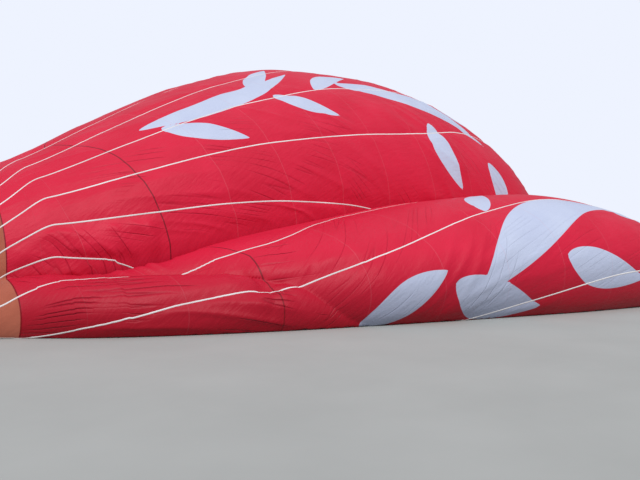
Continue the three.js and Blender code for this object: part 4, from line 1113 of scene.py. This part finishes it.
# Load frame
# A rounded oblong of stainless tube that the basket hangs from, with a socket and a lug plate
# welded on at each corner, and two bosses for the gimbal's pins.
FRAME_TUBE, FRAME_BOSS = 0.024, 0.08
PIN_RADIUS, PIN_DEPTH, PIN_SIDES = 0.01, 0.028, 28
BOSS_RADIUS, BOSS_BORE, BORE_DEPTH = 0.02, 0.011, 0.034
LUG_HALF, LUG_THICK, LUG_HOLE, LUG_EYE, LUG_POINTS = 0.03, 0.008, 0.013, 0.039, 72
WELD_POINTS, WELD_RADIUS, SOCKET_WELD, BOSS_WELD = 108, 0.0034, 0.024, 0.29
LUG_WELD, LUG_WELD_X, LUG_WELD_OUT, LUG_WELD_REACH = 0.0032, 0.021, 0.0042, 0.029
SOCKET_EDGE, BOLT_SET, BOLT_TURNS = 0.0345, 0.05, (0.9, 4.0)
SOCKET = ((0.0335, 0.012), (SOCKET_EDGE, 0.014), (0.036, 0.018), (0.036, 0.0665),
          (SOCKET_EDGE, HEAD_SOCKET), (0.031, HEAD_SOCKET), (0.031, 0.03))
SOCKET_BOLT = ((0.008, 0.03), (0.008, 0.0395), (0.0068, 0.041))
brushed = Effect("brushed", "Height", Place="Vector", Stretch="Vector")
drawn = brushed.node("ShaderNodeVectorMath", {"operation": "MULTIPLY"},
                     i0=brushed.given["Place"], i1=brushed.given["Stretch"])
streaks = brushed.node("ShaderNodeTexNoise", Vector=drawn.outputs[0], Scale=1.0, Detail=3.0, Roughness=0.7)
brushed.gives(streaks.outputs[0])

def brush(finish, stretch):
    """The brushed effect all over a piece."""
    return finish.effect("brushed", Place=finish.place(), Stretch=stretch)

def drawn_metal(finish, stretch, scale, tones, roughness, drag, depth):
    """Drawn metal: two tones, and brush lines that show in its gloss and, finely, in its height."""
    lines, cloud = brush(finish, stretch), finish.mottled(scale)
    gloss = finish.math("MULTIPLY_ADD", lines, drag, finish.spread(cloud, 0, 1, *roughness))
    finish.wear(finish.blend(cloud, *(srgb(*tone) for tone in tones)), gloss)
    finish.raise_by(lines, depth)

tube_steel = Finish("frame_steel", Metallic=1.0)
drawn_metal(tube_steel, (900, 60, 60), 5, ((196, 198, 202), (170, 172, 177)), (0.2, 0.3), 0.16, 0.0002)

def weld(form, centre, way, radius):
    """A rippled fillet weld round a bar."""
    first = Vector(way).orthogonal().normalized()
    second = Vector(way).normalized().cross(first)
    fillet = []
    for a in np.linspace(0, math.tau, WELD_POINTS, endpoint=False):
        reach = radius + 0.0012 + 0.0004 * math.cos(24 * a)
        fillet.append(Vector(centre) + (first * math.cos(a) + second * math.sin(a)) * reach)
    form.tube(fillet, WELD_RADIUS, 6, closed=True, level=way)

def bored_boss(form, outer, inner):
    """A round boss from its root to its open end, bored for a pin."""
    length = (inner - outer).length
    form.turned([(BOSS_RADIUS, 0), (BOSS_RADIUS, length - 0.0015), (BOSS_RADIUS - 0.0015, length),
                 (BOSS_BORE + 0.001, length), (BOSS_BORE, length - 0.001), (BOSS_BORE, length - BORE_DEPTH),
                 (0, length - BORE_DEPTH)], outer, inner - outer, 32)

def pin(form, root, way, reach):
    """A round pin with a chamfered end."""
    form.turned([(PIN_RADIUS, 0), (PIN_RADIUS, reach - 0.0015), (PIN_RADIUS - 0.0015, reach), (0, reach)],
                root, way, PIN_SIDES)

def lug_edge(angle):
    """How far a lug's edge lies from its hole's middle; one end of the plate is a half circle."""
    c, s = math.cos(angle), math.sin(angle)
    shift = LUG_EYE - LUG_HALF
    reach = -shift * c + math.sqrt((shift * c) ** 2 + LUG_HALF ** 2 - shift ** 2)
    if LUG_EYE + reach * c < LUG_HALF:
        reach = min(LUG_HALF / max(abs(s), 1e-6), LUG_EYE / max(abs(c), 1e-6))
    return reach * c, reach * s

def lug(form, place):
    """A plate with one hole; place turns X, radial and sideways measures into a point."""
    angles = np.linspace(0, math.tau, LUG_POINTS, endpoint=False) + 0.001
    outline = [(LUG_EYE + dx, dr) for dx, dr in map(lug_edge, angles)]
    hole = [(LUG_EYE + LUG_HOLE * math.cos(a), LUG_HOLE * math.sin(a)) for a in angles]
    points = [place(*point, side * LUG_THICK / 2) for side in (-1, 1) for point in outline + hole]
    faces = []
    for k in range(LUG_POINTS):
        n = (k + 1) % LUG_POINTS
        low, low_hole, high, high_hole = ((k + m * LUG_POINTS, n + m * LUG_POINTS) for m in range(4))
        faces += [[low[0], low[1], low_hole[1], low_hole[0]], [high[1], high[0], high_hole[0], high_hole[1]],
                  [low[1], low[0], high[0], high[1]], [low_hole[0], low_hole[1], high_hole[1], high_hole[0]]]
    form.add(points, faces)

centre = own(FRAME_X, AXIS_Y, AXIS_Z)
load_frame = Form()
loop, _ = ring_at(FRAME_X, 0, 220, FRAME_LENGTH, FRAME_WIDTH, FRAME_CORNER)
load_frame.tube(loop, FRAME_TUBE, 20, closed=True)
for name, (sy, sz) in CORNERS.items():
    _, head, way = corner_ends(name)
    load_frame.turned(SOCKET, head, -way, 36)
    weld(load_frame, head - way * SOCKET_WELD, way, SOCKET_EDGE)
    for turn in BOLT_TURNS:
        bolt_way = Matrix.Rotation(turn, 3, way) @ way.orthogonal().normalized()
        load_frame.turned(SOCKET_BOLT, head - way * BOLT_SET, bolt_way, 6)
    radial = Vector((0, sy, sz)).normalized()
    tangent = Vector((0, -sz, sy)).normalized()
    def place(x, reach, out):
        return head + Vector((x, 0, 0)) + radial * reach + tangent * out
    lug(load_frame, place)
    reaches = np.linspace(-LUG_WELD_REACH, LUG_WELD_REACH, 25)
    for out in (-LUG_WELD_OUT, LUG_WELD_OUT):
        load_frame.tube([place(LUG_WELD_X, reach, out) for reach in reaches], LUG_WELD, 6)
for side in (-1, 1):
    root = centre + Vector((0, side * FRAME_LENGTH / 2, 0))
    tip = centre + Vector((0, side * (FRAME_LENGTH / 2 - FRAME_BOSS), 0))
    bored_boss(load_frame, root, tip)
    weld(load_frame, root.lerp(tip, BOSS_WELD), (0, 1, 0), BOSS_RADIUS)
load_frame.piece("load_frame_tube", tube_steel, "frame_steel", "balloon_body", "load_frame", crisp=40)

# Gimbal ring
# A lighter loop of the same tube, which rocks on two pins in the load frame's bosses and
# carries the burners on two more, square to the first.
GIMBAL_LENGTH, GIMBAL_WIDTH, GIMBAL_CORNER, GIMBAL_TUBE, GIMBAL_BOSS = 0.96, 0.56, 0.1, 0.015, 0.06
PIN_WELD, PIN_WELD_RADIUS, BORE_WELD = 0.0155, 0.0158, 0.0145
PIN_COLLAR = ((0.016, 0.014), (0.019, 0.016), (0.019, 0.03), (0.0175, 0.032), (0.012, 0.032))
gimbal = Form()
loop, _ = ring_at(FRAME_X, 0, 200, GIMBAL_LENGTH, GIMBAL_WIDTH, GIMBAL_CORNER)
gimbal.tube(loop, GIMBAL_TUBE, 16, closed=True)
for side in (-1, 1):
    way = Vector((0, side, 0))
    root = centre + way * GIMBAL_LENGTH / 2
    pin(gimbal, root, way, (FRAME_LENGTH - GIMBAL_LENGTH) / 2 - FRAME_BOSS + PIN_DEPTH)
    gimbal.turned(PIN_COLLAR, root, way, PIN_SIDES)
    weld(gimbal, root + way * PIN_WELD, way, PIN_WELD_RADIUS)
    way = Vector((0, 0, side))
    root = centre + way * GIMBAL_WIDTH / 2
    bored_boss(gimbal, root, root - way * GIMBAL_BOSS)
    weld(gimbal, root - way * BORE_WELD, way, BOSS_RADIUS)
gimbal.piece("gimbal_ring_tube", tube_steel, "frame_steel", "gimbal", "gimbal_ring", crisp=40)

# Burner block
# The stainless case that joins the two burners, on pins in the gimbal. Behind it are the valve
# blocks, each with its blast lever, a lever for the quiet flame, a dial and the fuel unions.
BURNER_LENGTH, BURNER_WIDTH, BURNER_DEPTH, BURNER_SPACING = 0.78, 0.15, 0.09, 0.4
VALVE_LENGTH, VALVE_WIDTH, VALVE_SET = 0.12, 0.07, 0.05
CAN_X = FRAME_X + BURNER_DEPTH / 2 + SEAT_GAP
SCREWS, SCREW_SPREAD, SCREW_X, SCREW_Z, SCREW_SUNK = 9, 0.46, 0.025, 0.06, 0.0005
UNION_BACK, FITTING_SUNK, DIAL_SIDE = 0.03, 0.001, 0.115
BEARING = ((0.02, BURNER_WIDTH / 2 - 0.002), (0.02, BURNER_WIDTH / 2 + 0.012),
           (0.017, BURNER_WIDTH / 2 + 0.015), (0.011, BURNER_WIDTH / 2 + 0.015))
CASE_SCREW = ((0.0055, 0), (0.0055, 0.0032), (0.0045, 0.0042), (0, 0.0044))
FUEL_UNION = ((0.014, 0), (0.014, 0.012), (0.011, 0.014), (0.011, 0.022), (0.016, 0.023), (0.016, 0.036),
              (0.009, 0.038), (0.009, 0.052))
END_PLUG = ((0.018, 0), (0.018, 0.01), (0.012, 0.014), (0.012, 0.03))
BLAST_LEVER = ((-0.084, 0, 0), (-0.1, 0, 0.004), (-0.112, 0.03, 0.01), (-0.118, 0.08, 0.012),
               (-0.12, 0.13, 0.012))
GRIP = ((0.1, 0.009), (0.14, 0.0115), (0.9, 0.0115), (1.12, 0.0105), (1.16, 0.004))
QUIET_LEVER = ((0, 0.062), (-0.03, 0.064), (-0.075, 0.068))
BLAST_ROD, QUIET_ROD, QUIET_Z, KNOB_BACK, KNOB_OUT = 0.005, 0.0035, 0.01, 0.07, 0.068
GLAND = ((0.009, 0), (0.009, 0.014), (0.006, 0.016), (0.006, 0.03))
KNOB = ((0.004, 0), (0.009, 0.004), (0.0105, 0.012), (0.009, 0.02), (0.004, 0.024))
DIAL_CASE = ((0.012, 0), (0.012, 0.02), (0.026, 0.022), (0.028, 0.026), (0.028, 0.04), (0.026, 0.042),
             (0.024, 0.042), (0.024, 0.039))
DIAL_FACE = ((0.0242, 0.0385), (0.0242, 0.0395), (0, 0.0395))
NEEDLE, NEEDLE_SET, NEEDLE_TURN = (0.001, 0.0018, 0.019), (-0.0402, 0.004, 0.006), 0.6
# Steel turns straw, purple and blue with heat: where each tint starts and ends along a can
HEAT_TINTS = ((0.13, 0.2, (198, 168, 118)), (0.22, 0.28, (140, 96, 120)), (0.3, 0.345, (92, 104, 140)))
burner_steel = Finish("burner_steel", Metallic=1.0)
lines = brush(burner_steel, (700, 24, 700))
heat = burner_steel.split(burner_steel.place())[0]
hot = burner_steel.math("MULTIPLY_ADD", burner_steel.mottled(8), 0.06, heat)
colour = srgb(190, 191, 194)
for first, last, tint in HEAT_TINTS:
    tinted = burner_steel.spread(hot, own(CAN_X + first, 0, 0)[0], own(CAN_X + last, 0, 0)[0])
    colour = burner_steel.blend(tinted, colour, srgb(*tint))
burner_steel.wear(colour, burner_steel.spread(lines, 0.3, 0.7, 0.24, 0.4))
burner_steel.raise_by(lines, 0.0003)
brass = Finish("brass", Metallic=1.0)
brass.vary(brass.mottled(40), (206, 170, 96), (158, 122, 64), 0.25, 0.45)
handle_red = Finish("handle_red", Coat_Weight=0.3)
handle_red.vary(handle_red.mottled(60), (178, 24, 30), (140, 22, 26), 0.35, 0.5)
face = Finish("dial_face", Roughness=0.25, Coat_Weight=1.0)
face.wear(face.blend(face.mottled(30), srgb(236, 236, 232), srgb(222, 221, 214)))

def in_block(x, y, z):
    """A place in the burner block's own measures."""
    return centre + Vector((x, y, z))

block, brasswork, handles, dials = Form(), Form(), Form(), Form()
block.block((BURNER_DEPTH, BURNER_LENGTH, BURNER_WIDTH), centre, bevel=0.008)
for side in (-1, 1):
    pin(block, centre, (0, 0, side), GIMBAL_WIDTH / 2 - GIMBAL_BOSS + PIN_DEPTH)
    block.turned(BEARING, centre, (0, 0, side), PIN_SIDES)
    for y in np.linspace(-SCREW_SPREAD, SCREW_SPREAD, SCREWS) * BURNER_LENGTH:
        side_at = in_block(SCREW_X, y, side * (BURNER_WIDTH / 2 - SCREW_SUNK))
        block.turned(CASE_SCREW, side_at, (0, 0, side), 16)
        back_at = in_block(-BURNER_DEPTH / 2 + SCREW_SUNK, y, side * SCREW_Z)
        block.turned(CASE_SCREW, back_at, (-1, 0, 0), 16)
    x, y = -BURNER_DEPTH / 2 - VALVE_SET, side * BURNER_SPACING / 2
    block.block((VALVE_LENGTH, VALVE_WIDTH, VALVE_WIDTH), in_block(x, y, 0), bevel=0.005)
    for z in (-1, 1):
        union_at = in_block(x - UNION_BACK, y, z * (VALVE_WIDTH / 2 - FITTING_SUNK))
        brasswork.turned(FUEL_UNION, union_at, (0, 0, z), 6)
    brasswork.turned(END_PLUG, in_block(x - VALVE_LENGTH / 2 + FITTING_SUNK, y, 0), (-1, 0, 0), 32)
    lever = [in_block(x + along, y - side * out, z) for along, out, z in BLAST_LEVER]
    block.tube(lever, BLAST_ROD, 12, level=(0, 0, 1))
    grip = [lever[-2].lerp(lever[-1], t) for t, _ in GRIP]
    handles.tube(grip, [radius for _, radius in GRIP], 20, level=(0, 0, 1))
    block.turned(GLAND, in_block(x, y + side * VALVE_WIDTH / 2, QUIET_Z), (0, side, 0), 20)
    quiet_lever = [in_block(x + along, y + side * out, QUIET_Z) for along, out in QUIET_LEVER]
    block.tube(quiet_lever, QUIET_ROD, 10, level=(0, 0, 1))
    handles.turned(KNOB, in_block(x - KNOB_BACK, y + side * KNOB_OUT, QUIET_Z), (-1, 0, 0), 24)
    dial_at = in_block(-BURNER_DEPTH / 2, y + side * DIAL_SIDE, 0)
    block.turned(DIAL_CASE, dial_at, (-1, 0, 0), 40)
    dials.turned(DIAL_FACE, dial_at, (-1, 0, 0), 40)
    needle_turn = Matrix.Rotation(NEEDLE_TURN, 3, "X")
    handles.block(NEEDLE, dial_at + Vector(NEEDLE_SET), 0.0002, needle_turn)
block.piece("burner_case", burner_steel, "burner_steel", "burners", "burner_block", crisp=40)
brasswork.piece("burner_unions", brass, "burner_steel", "burners")
handles.piece("burner_handles", handle_red, "burner_steel", "burners")
dials.piece("burner_dials", face, "burner_steel", "burners")

# Burner cans
# Rolled stainless cans that shield the flames, beaded for stiffness. The air holes near the
# foot are drawn as dark discs of painted shade, and a ring of jets and a pilot cup stand on the floor.
CAN_RADIUS, CAN_LENGTH, CAN_WALL, CAN_LIP = 0.165, 0.33, 0.006, 0.0055
AIR_HOLES, AIR_HOLE_X, AIR_HOLE = 24, 0.032, ((0.009, 0), (0.009, 0.0006), (0.0075, 0.0008), (0, 0.0008))
BEAD_LOW, BEAD_HIGH = 0.06, 0.26
JETS, JET_REACH, JET_X, FUEL_RING_X, FUEL_TUBE = 16, 0.075, 0.034, 0.03, 0.006
JET = ((0.0042, 0), (0.0042, 0.008), (0.0026, 0.011), (0.0012, 0.011), (0.0012, 0.006))
PILOT_CUP = ((0.016, 0.0055), (0.016, 0.045), (0.014, 0.047), (0.0125, 0.047), (0.0125, 0.02), (0, 0.02))
# Soot on the jets and pilot cups; the air-hole discs in the same dark finish are painted shade
soot_and_hole_shade = Finish("sooty_and_hole_shade_steel", Metallic=0.7)
soot_and_hole_shade.vary(soot_and_hole_shade.mottled(22), (60, 58, 58), (30, 28, 28), 0.55, 0.85)

def bead(radius, height):
    """The half-round section of a rolled bead."""
    return [(radius + 0.004 * math.sin(a), height + 0.006 * (a / math.pi - 0.5))
            for a in np.linspace(0, math.pi, 7)]

inner = CAN_RADIUS - CAN_WALL
lip = [(CAN_RADIUS - 0.003 + CAN_LIP * math.cos(a), CAN_LENGTH - CAN_LIP + CAN_LIP * math.sin(a))
       for a in np.linspace(-0.5, math.pi + 0.5, 13)]
can_profile = [(0.02, 0), (CAN_RADIUS - 0.004, 0), (CAN_RADIUS, 0.004), *bead(CAN_RADIUS, BEAD_LOW),
               *bead(CAN_RADIUS, BEAD_HIGH), *lip, (inner, CAN_LENGTH - 0.02), (inner, CAN_WALL + 0.004),
               (inner - 0.004, CAN_WALL), (0.02, CAN_WALL), (0, CAN_WALL)]
jets = Form()
for number, side in ((1, -1), (2, 1)):
    foot = own(CAN_X, AXIS_Y + side * BURNER_SPACING / 2, AXIS_Z)
    can = Form().turned(can_profile, foot, (1, 0, 0), 72)
    can.piece(f"burner_can_{number}_shell", burner_steel, "burner_steel", "burners",
              f"burner_can_{number}", crisp=50)
    for out in spokes(AIR_HOLES):
        jets.turned(AIR_HOLE, foot + Vector((AIR_HOLE_X, 0, 0)) + out * (CAN_RADIUS - 0.0002), out, 16)
    fuel_ring = [foot + Vector((FUEL_RING_X, 0, 0)) + out * JET_REACH for out in spokes(60)]
    jets.tube(fuel_ring, FUEL_TUBE, closed=True)
    for out in spokes(JETS):
        jets.turned(JET, foot + Vector((JET_X, 0, 0)) + out * JET_REACH, (1, 0, 0), 10)
    riser = [foot + Vector((x, JET_REACH, 0)) for x in (0.006, 0.02, 0.028)]
    jets.tube(riser, FUEL_TUBE, level=(0, 0, 1))
    jets.turned(PILOT_CUP, foot, (1, 0, 0), 28)
jets.piece("burner_jets", soot_and_hole_shade, "burner_steel", "burners")

# Burner coils
# Stainless tube wound in eight turns round the flame, where the liquid fuel boils on its way
# to the jets. From the top turn it runs straight back down to the can's floor.
COIL_RADIUS, COIL_TUBE, COIL_LENGTH, COIL_TURNS = 0.11, 0.0115, 0.21, 8
RETURN_TUBE, RETURN_ASIDE, RETURN_BEND = 0.008, 0.024, 0.03
for number, side in ((1, -1), (2, 1)):
    foot = own(CAN_X + CAN_WALL + SEAT_GAP, AXIS_Y + side * BURNER_SPACING / 2, AXIS_Z)
    angle = np.linspace(0, COIL_TURNS * math.tau, COIL_TURNS * 40 + 1)
    height = COIL_TUBE + (COIL_LENGTH - 2 * COIL_TUBE) * np.linspace(0, 1, len(angle))
    winding = np.column_stack([height, COIL_RADIUS * np.cos(angle), COIL_RADIUS * np.sin(angle)])
    winding = winding + np.array(foot)
    coil = Form().tube(winding, COIL_TUBE, 14)
    down = [winding[-1] + np.array([-x, -RETURN_ASIDE * min(1, x / RETURN_BEND), 0])
            for x in np.linspace(0, COIL_LENGTH - COIL_TUBE, 12)]
    coil.tube(down, RETURN_TUBE, level=(0, 0, 1))
    coil.piece(f"burner_coil_{number}_tube", burner_steel, "burner_steel", "burners",
               f"burner_coil_{number}", crisp=60)

# Fuel cylinders
# Drawn aluminium cylinders, one strapped in each corner of the basket, with a welded foot
# ring, a guard collar round the valve, a handwheel, a float gauge and a union for the hose.
CYLINDER_RADIUS, CYLINDER_FOOT, CYLINDER_SET, CYLINDER_WELDS = 0.14, 0.0183, 0.015, (0.078, 0.602)
DISH, STEM_SIDE, GAUGE_SIDE, HOSE_HEIGHT = 0.07, 0.03, -0.035, 0.692
VALVE_STEM = ((0.013, 0.672), (0.013, 0.682), (0.009, 0.684), (0.009, 0.7), (0.012, 0.701), (0.012, 0.712),
              (0.005, 0.714), (0.005, 0.72))
HOSE_UNION = ((0.009, 0), (0.009, 0.02), (0.013, 0.021), (0.013, 0.035), (0.01, 0.036), (0.01, 0.042))
GAUGE = ((0.02, 0.672), (0.02, 0.678), (0.016, 0.679), (0.016, 0.69), (0, 0.691))
HANDWHEEL = ((0.008, 0.716), (0.022, 0.717), (0.026, 0.72), (0.026, 0.726), (0.022, 0.729), (0.008, 0.73),
             (0, 0.73))
STRAP_HEIGHTS = (0.2, 0.48)
STRAP = ((0.1404, -0.02), (0.1426, -0.0196), (0.1426, 0.0196), (0.1404, 0.02))
BUCKLE = (((0.052, 0.034, 0.006), 0.1445), ((0.03, 0.02, 0.008), 0.1465))
cylinder_metal = Finish("cylinder_shell", Metallic=1.0)
drawn_metal(cylinder_metal, (900, 40, 40), 6, ((202, 204, 206), (172, 174, 177)), (0.22, 0.36), 0.2, 0.0003)
strap_finish = Finish("strap_webbing", Roughness=0.85, Sheen_Weight=0.2)
ribs = brush(strap_finish, (500, 30, 30))
strap_finish.wear(strap_finish.blend(ribs, srgb(28, 30, 36), srgb(58, 60, 66)))
strap_finish.raise_by(ribs, 0.0006)

def dished(height, first, last):
    """Part of the curve between a cylinder's wall and one of its ends."""
    return [(DISH + DISH * math.cos(a), height + DISH * math.sin(a))
            for a in np.radians(np.linspace(first, last, 9))]

shell = [(0.098, 0), (0.105, 0), (0.107, 0.004), (0.109, 0.02), (0.112, 0.028), *dished(0.1, -50, 0),
         *dished(0.58, 0, 62), (0.0925, 0.652), (0.09, 0.656), (0.09, 0.694), (0.0918, 0.697), (0.0918, 0.7),
         (0.0868, 0.7), (0.087, 0.656), (0.05, 0.662), (0.03, 0.668), (0.028, 0.676), (0, 0.676)]
corner_set = BASKET_WALL + CYLINDER_RADIUS + CYLINDER_SET
ahead = Vector((1, 0, 0))
valves, wheels, straps, buckles = Form(), Form(), Form(), Form()
for number, (sy, sz) in enumerate(CORNERS.values(), start=1):
    foot = own(FLOOR_X + CYLINDER_FOOT, AXIS_Y + sy * (BASKET_LENGTH / 2 - corner_set),
               AXIS_Z + sz * (BASKET_WIDTH / 2 - corner_set))
    cylinder = Form().turned(shell, foot, ahead, 72)
    for height in CYLINDER_WELDS:
        weld(cylinder, foot + ahead * height, ahead, CYLINDER_RADIUS - 0.0025)
    cylinder.piece(f"fuel_cylinder_{number}_shell", cylinder_metal, "cylinder_shell", "balloon_body",
                   f"fuel_cylinder_{number}")
    stem_at = foot + Vector((0, STEM_SIDE, 0))
    valves.turned(VALVE_STEM, stem_at, ahead, 24)
    valves.turned(HOSE_UNION, stem_at + ahead * HOSE_HEIGHT, (0, 0, sz), 6)
    valves.turned(GAUGE, foot + Vector((0, GAUGE_SIDE, 0)), ahead, 32)
    wheels.turned(HANDWHEEL, stem_at, ahead, 40)
    inward = Vector((0, -sy, -sz)).normalized()
    turn = Matrix((ahead, inward.cross(ahead), inward)).transposed()
    for height in STRAP_HEIGHTS:
        straps.turned([(radius, height + off) for radius, off in STRAP], foot, ahead, 96, hollow=True)
        for size, reach in BUCKLE:
            buckles.block(size, foot + ahead * height + inward * reach, 0.002, turn)
valves.piece("cylinder_valves", brass, "cylinder_shell", "balloon_body")
wheels.piece("cylinder_handwheels", handle_red, "cylinder_shell", "balloon_body")
straps.piece("cylinder_straps", strap_finish, "webbing", "balloon_body")
buckles.piece("strap_buckles", alloy, "webbing", "balloon_body")

# Flying wires
# Stranded stainless ropes, six from a steel karabiner in each lug of the load frame, pressed
# into sleeves at both ends and shackled to the load tapes at the mouth's edge.
KARABINER_BEND, KARABINER_STRAIGHT, KARABINER_ROD, KARABINER_BEARING = 0.025, 0.055, 0.006, 0.0047
GATE = ((0.006, 0.034, 0.0085), (0.038, 0.009, 0.0078))
WIRE_RADIUS, WIRE_SIDES, WIRE_POINTS = 0.0028, 8, 9
WIRE_START, WIRE_STOP, SLEEVE_START, SLEEVE_STOP = 0.012, 0.03, 0.03, 0.075
EYELET_SIZES, EYELET_SET, EYELET_WIDTH, EYELET_ROD = (0.018, 0.022), 0.018, 0.55, 0.0026
SLEEVE = ((0.0035, 0), (0.0058, 0.002), (0.0058, 0.032), (0.0035, 0.034))
FIRST_WIRE = {"lower_near": 14, "lower_far": 8, "upper_near": -4, "upper_far": 2}
rope = Finish("wire_rope", Metallic=0.95, Roughness=0.4)
fabric = rope.fabric()
turns = rope.math("ADD", rope.math("MULTIPLY", fabric[0], 480), rope.math("MULTIPLY", fabric[1], 6))
lay = rope.math("SINE", turns)
strand = rope.blend(rope.mottled(2), srgb(176, 178, 180), srgb(150, 150, 150))
# The grooves between the strands are painted dark, as shade
rope.wear(rope.blend(rope.spread(lay, -1, 0.2, 1, 0), strand, srgb(74, 74, 76)))
rope.raise_by(lay, 0.0006)
karabiners = Form()
for name, (sy, sz) in CORNERS.items():
    _, head, _ = corner_ends(name)
    tangent = Vector((0, -sz, sy)).normalized()
    start = head + Vector((LUG_EYE + KARABINER_BEARING + KARABINER_BEND, 0, 0))
    def place(along, sideways):
        return start + Vector((along, 0, 0)) + tangent * sideways
    loop = [place(middle + KARABINER_BEND * math.cos(a), KARABINER_BEND * math.sin(a))
            for middle, first in ((KARABINER_STRAIGHT, -90), (0, 90))
            for a in np.radians(np.linspace(first, first + 180, 19))]
    karabiners.tube(loop, KARABINER_ROD, 18, closed=True, level=ahead.cross(tangent))
    for along, length, radius in GATE:
        barrel = ((radius - 0.001, 0), (radius, 0.001), (radius, length - 0.001), (radius - 0.001, length))
        karabiners.turned(barrel, place(along, KARABINER_BEND), ahead, 24)
    apex = place(KARABINER_STRAIGHT + KARABINER_BEND, 0)
    wires, measures = Form(), []
    for k in range(GORES // 4):
        column = (FIRST_WIRE[name] + k - FIRST_GORE) % GORES * MOUTH_COLUMNS
        end = Vector(mouth["points"][0, column])
        way = (end - apex).normalized()
        side = way.orthogonal().normalized()
        first, last = apex + way * WIRE_START, end - way * WIRE_STOP
        wires.tube([first.lerp(last, t) for t in np.linspace(0, 1, WIRE_POINTS)], WIRE_RADIUS, WIRE_SIDES)
        run = np.repeat(np.linspace(0, (last - first).length, WIRE_POINTS), WIRE_SIDES)
        round_wire = np.tile(np.arange(WIRE_SIDES) * math.tau / WIRE_SIDES, WIRE_POINTS)
        measures.append(np.stack([run, round_wire, np.zeros(len(run))], axis=-1))
        karabiners.turned(SLEEVE, apex + way * SLEEVE_START, way, 14)
        karabiners.turned(SLEEVE, end - way * SLEEVE_STOP, way, 14)
        for point, size in zip((first, end - way * EYELET_SET), EYELET_SIZES):
            eyelet = [point + way * size * math.cos(a) + side * EYELET_WIDTH * size * math.sin(a)
                      for a in np.linspace(0, math.tau, 20, endpoint=False)]
            karabiners.tube(eyelet, EYELET_ROD, 8, closed=True, level=way.cross(side))
    cables = wires.piece(f"flying_wires_{name}_rope", rope, "wire_steel", "balloon_body",
                         f"flying_wires_{name}")
    note_measure(cables, "fabric", np.concatenate(measures))
karabiners.piece("karabiners", tube_steel, "wire_steel", "balloon_body", crisp=50)

# Floor and light
# A pale level floor under a bright even sky, with a soft sun high behind the onlooker.
FLOOR_SIZE = 1600
SUN_WAY, SUN_STRENGTH, SUN_SPREAD = (-0.4, -0.52, 0.75), 2.05, 20
bpy.ops.mesh.primitive_plane_add(size=FLOOR_SIZE)
floor = bpy.context.object
floor.name = "floor"
ground = Finish("floor_paint", Roughness=0.9)
ground.wear(ground.blend(ground.mottled(0.6), srgb(178, 180, 176), srgb(172, 174, 170)))
ground.on(floor)

class Sky(Nodes):
    """The light all round: strongest overhead, and a plain near-white backdrop."""

    def __init__(self, colour, level, overhead, backdrop):
        world = bpy.data.worlds.new("sky")
        world.use_nodes = True
        self.tree = world.node_tree
        height = self.split(self.node("ShaderNodeTexCoord").outputs["Generated"])[2]
        light = self.spread(height, 0, 1, level, overhead)
        seen = self.node("ShaderNodeLightPath").outputs["Is Camera Ray"]
        background = self.tree.nodes["Background"]
        background.inputs[0].default_value = colour
        self.feed(background.inputs[1], self.spread(seen, 0, 1, light, backdrop))
        bpy.context.scene.world = world

Sky(srgb(238, 243, 255), level=0.25, overhead=0.7, backdrop=1.0)
bpy.context.scene.view_settings.view_transform = "Standard"
sun = bpy.data.objects.new("sun", bpy.data.lights.new("sun", "SUN"))
sun.data.energy = SUN_STRENGTH
sun.data.angle = math.radians(SUN_SPREAD)
sun.rotation_euler = Vector(SUN_WAY).to_track_quat("Z", "Y").to_euler()
bpy.context.scene.collection.objects.link(sun)
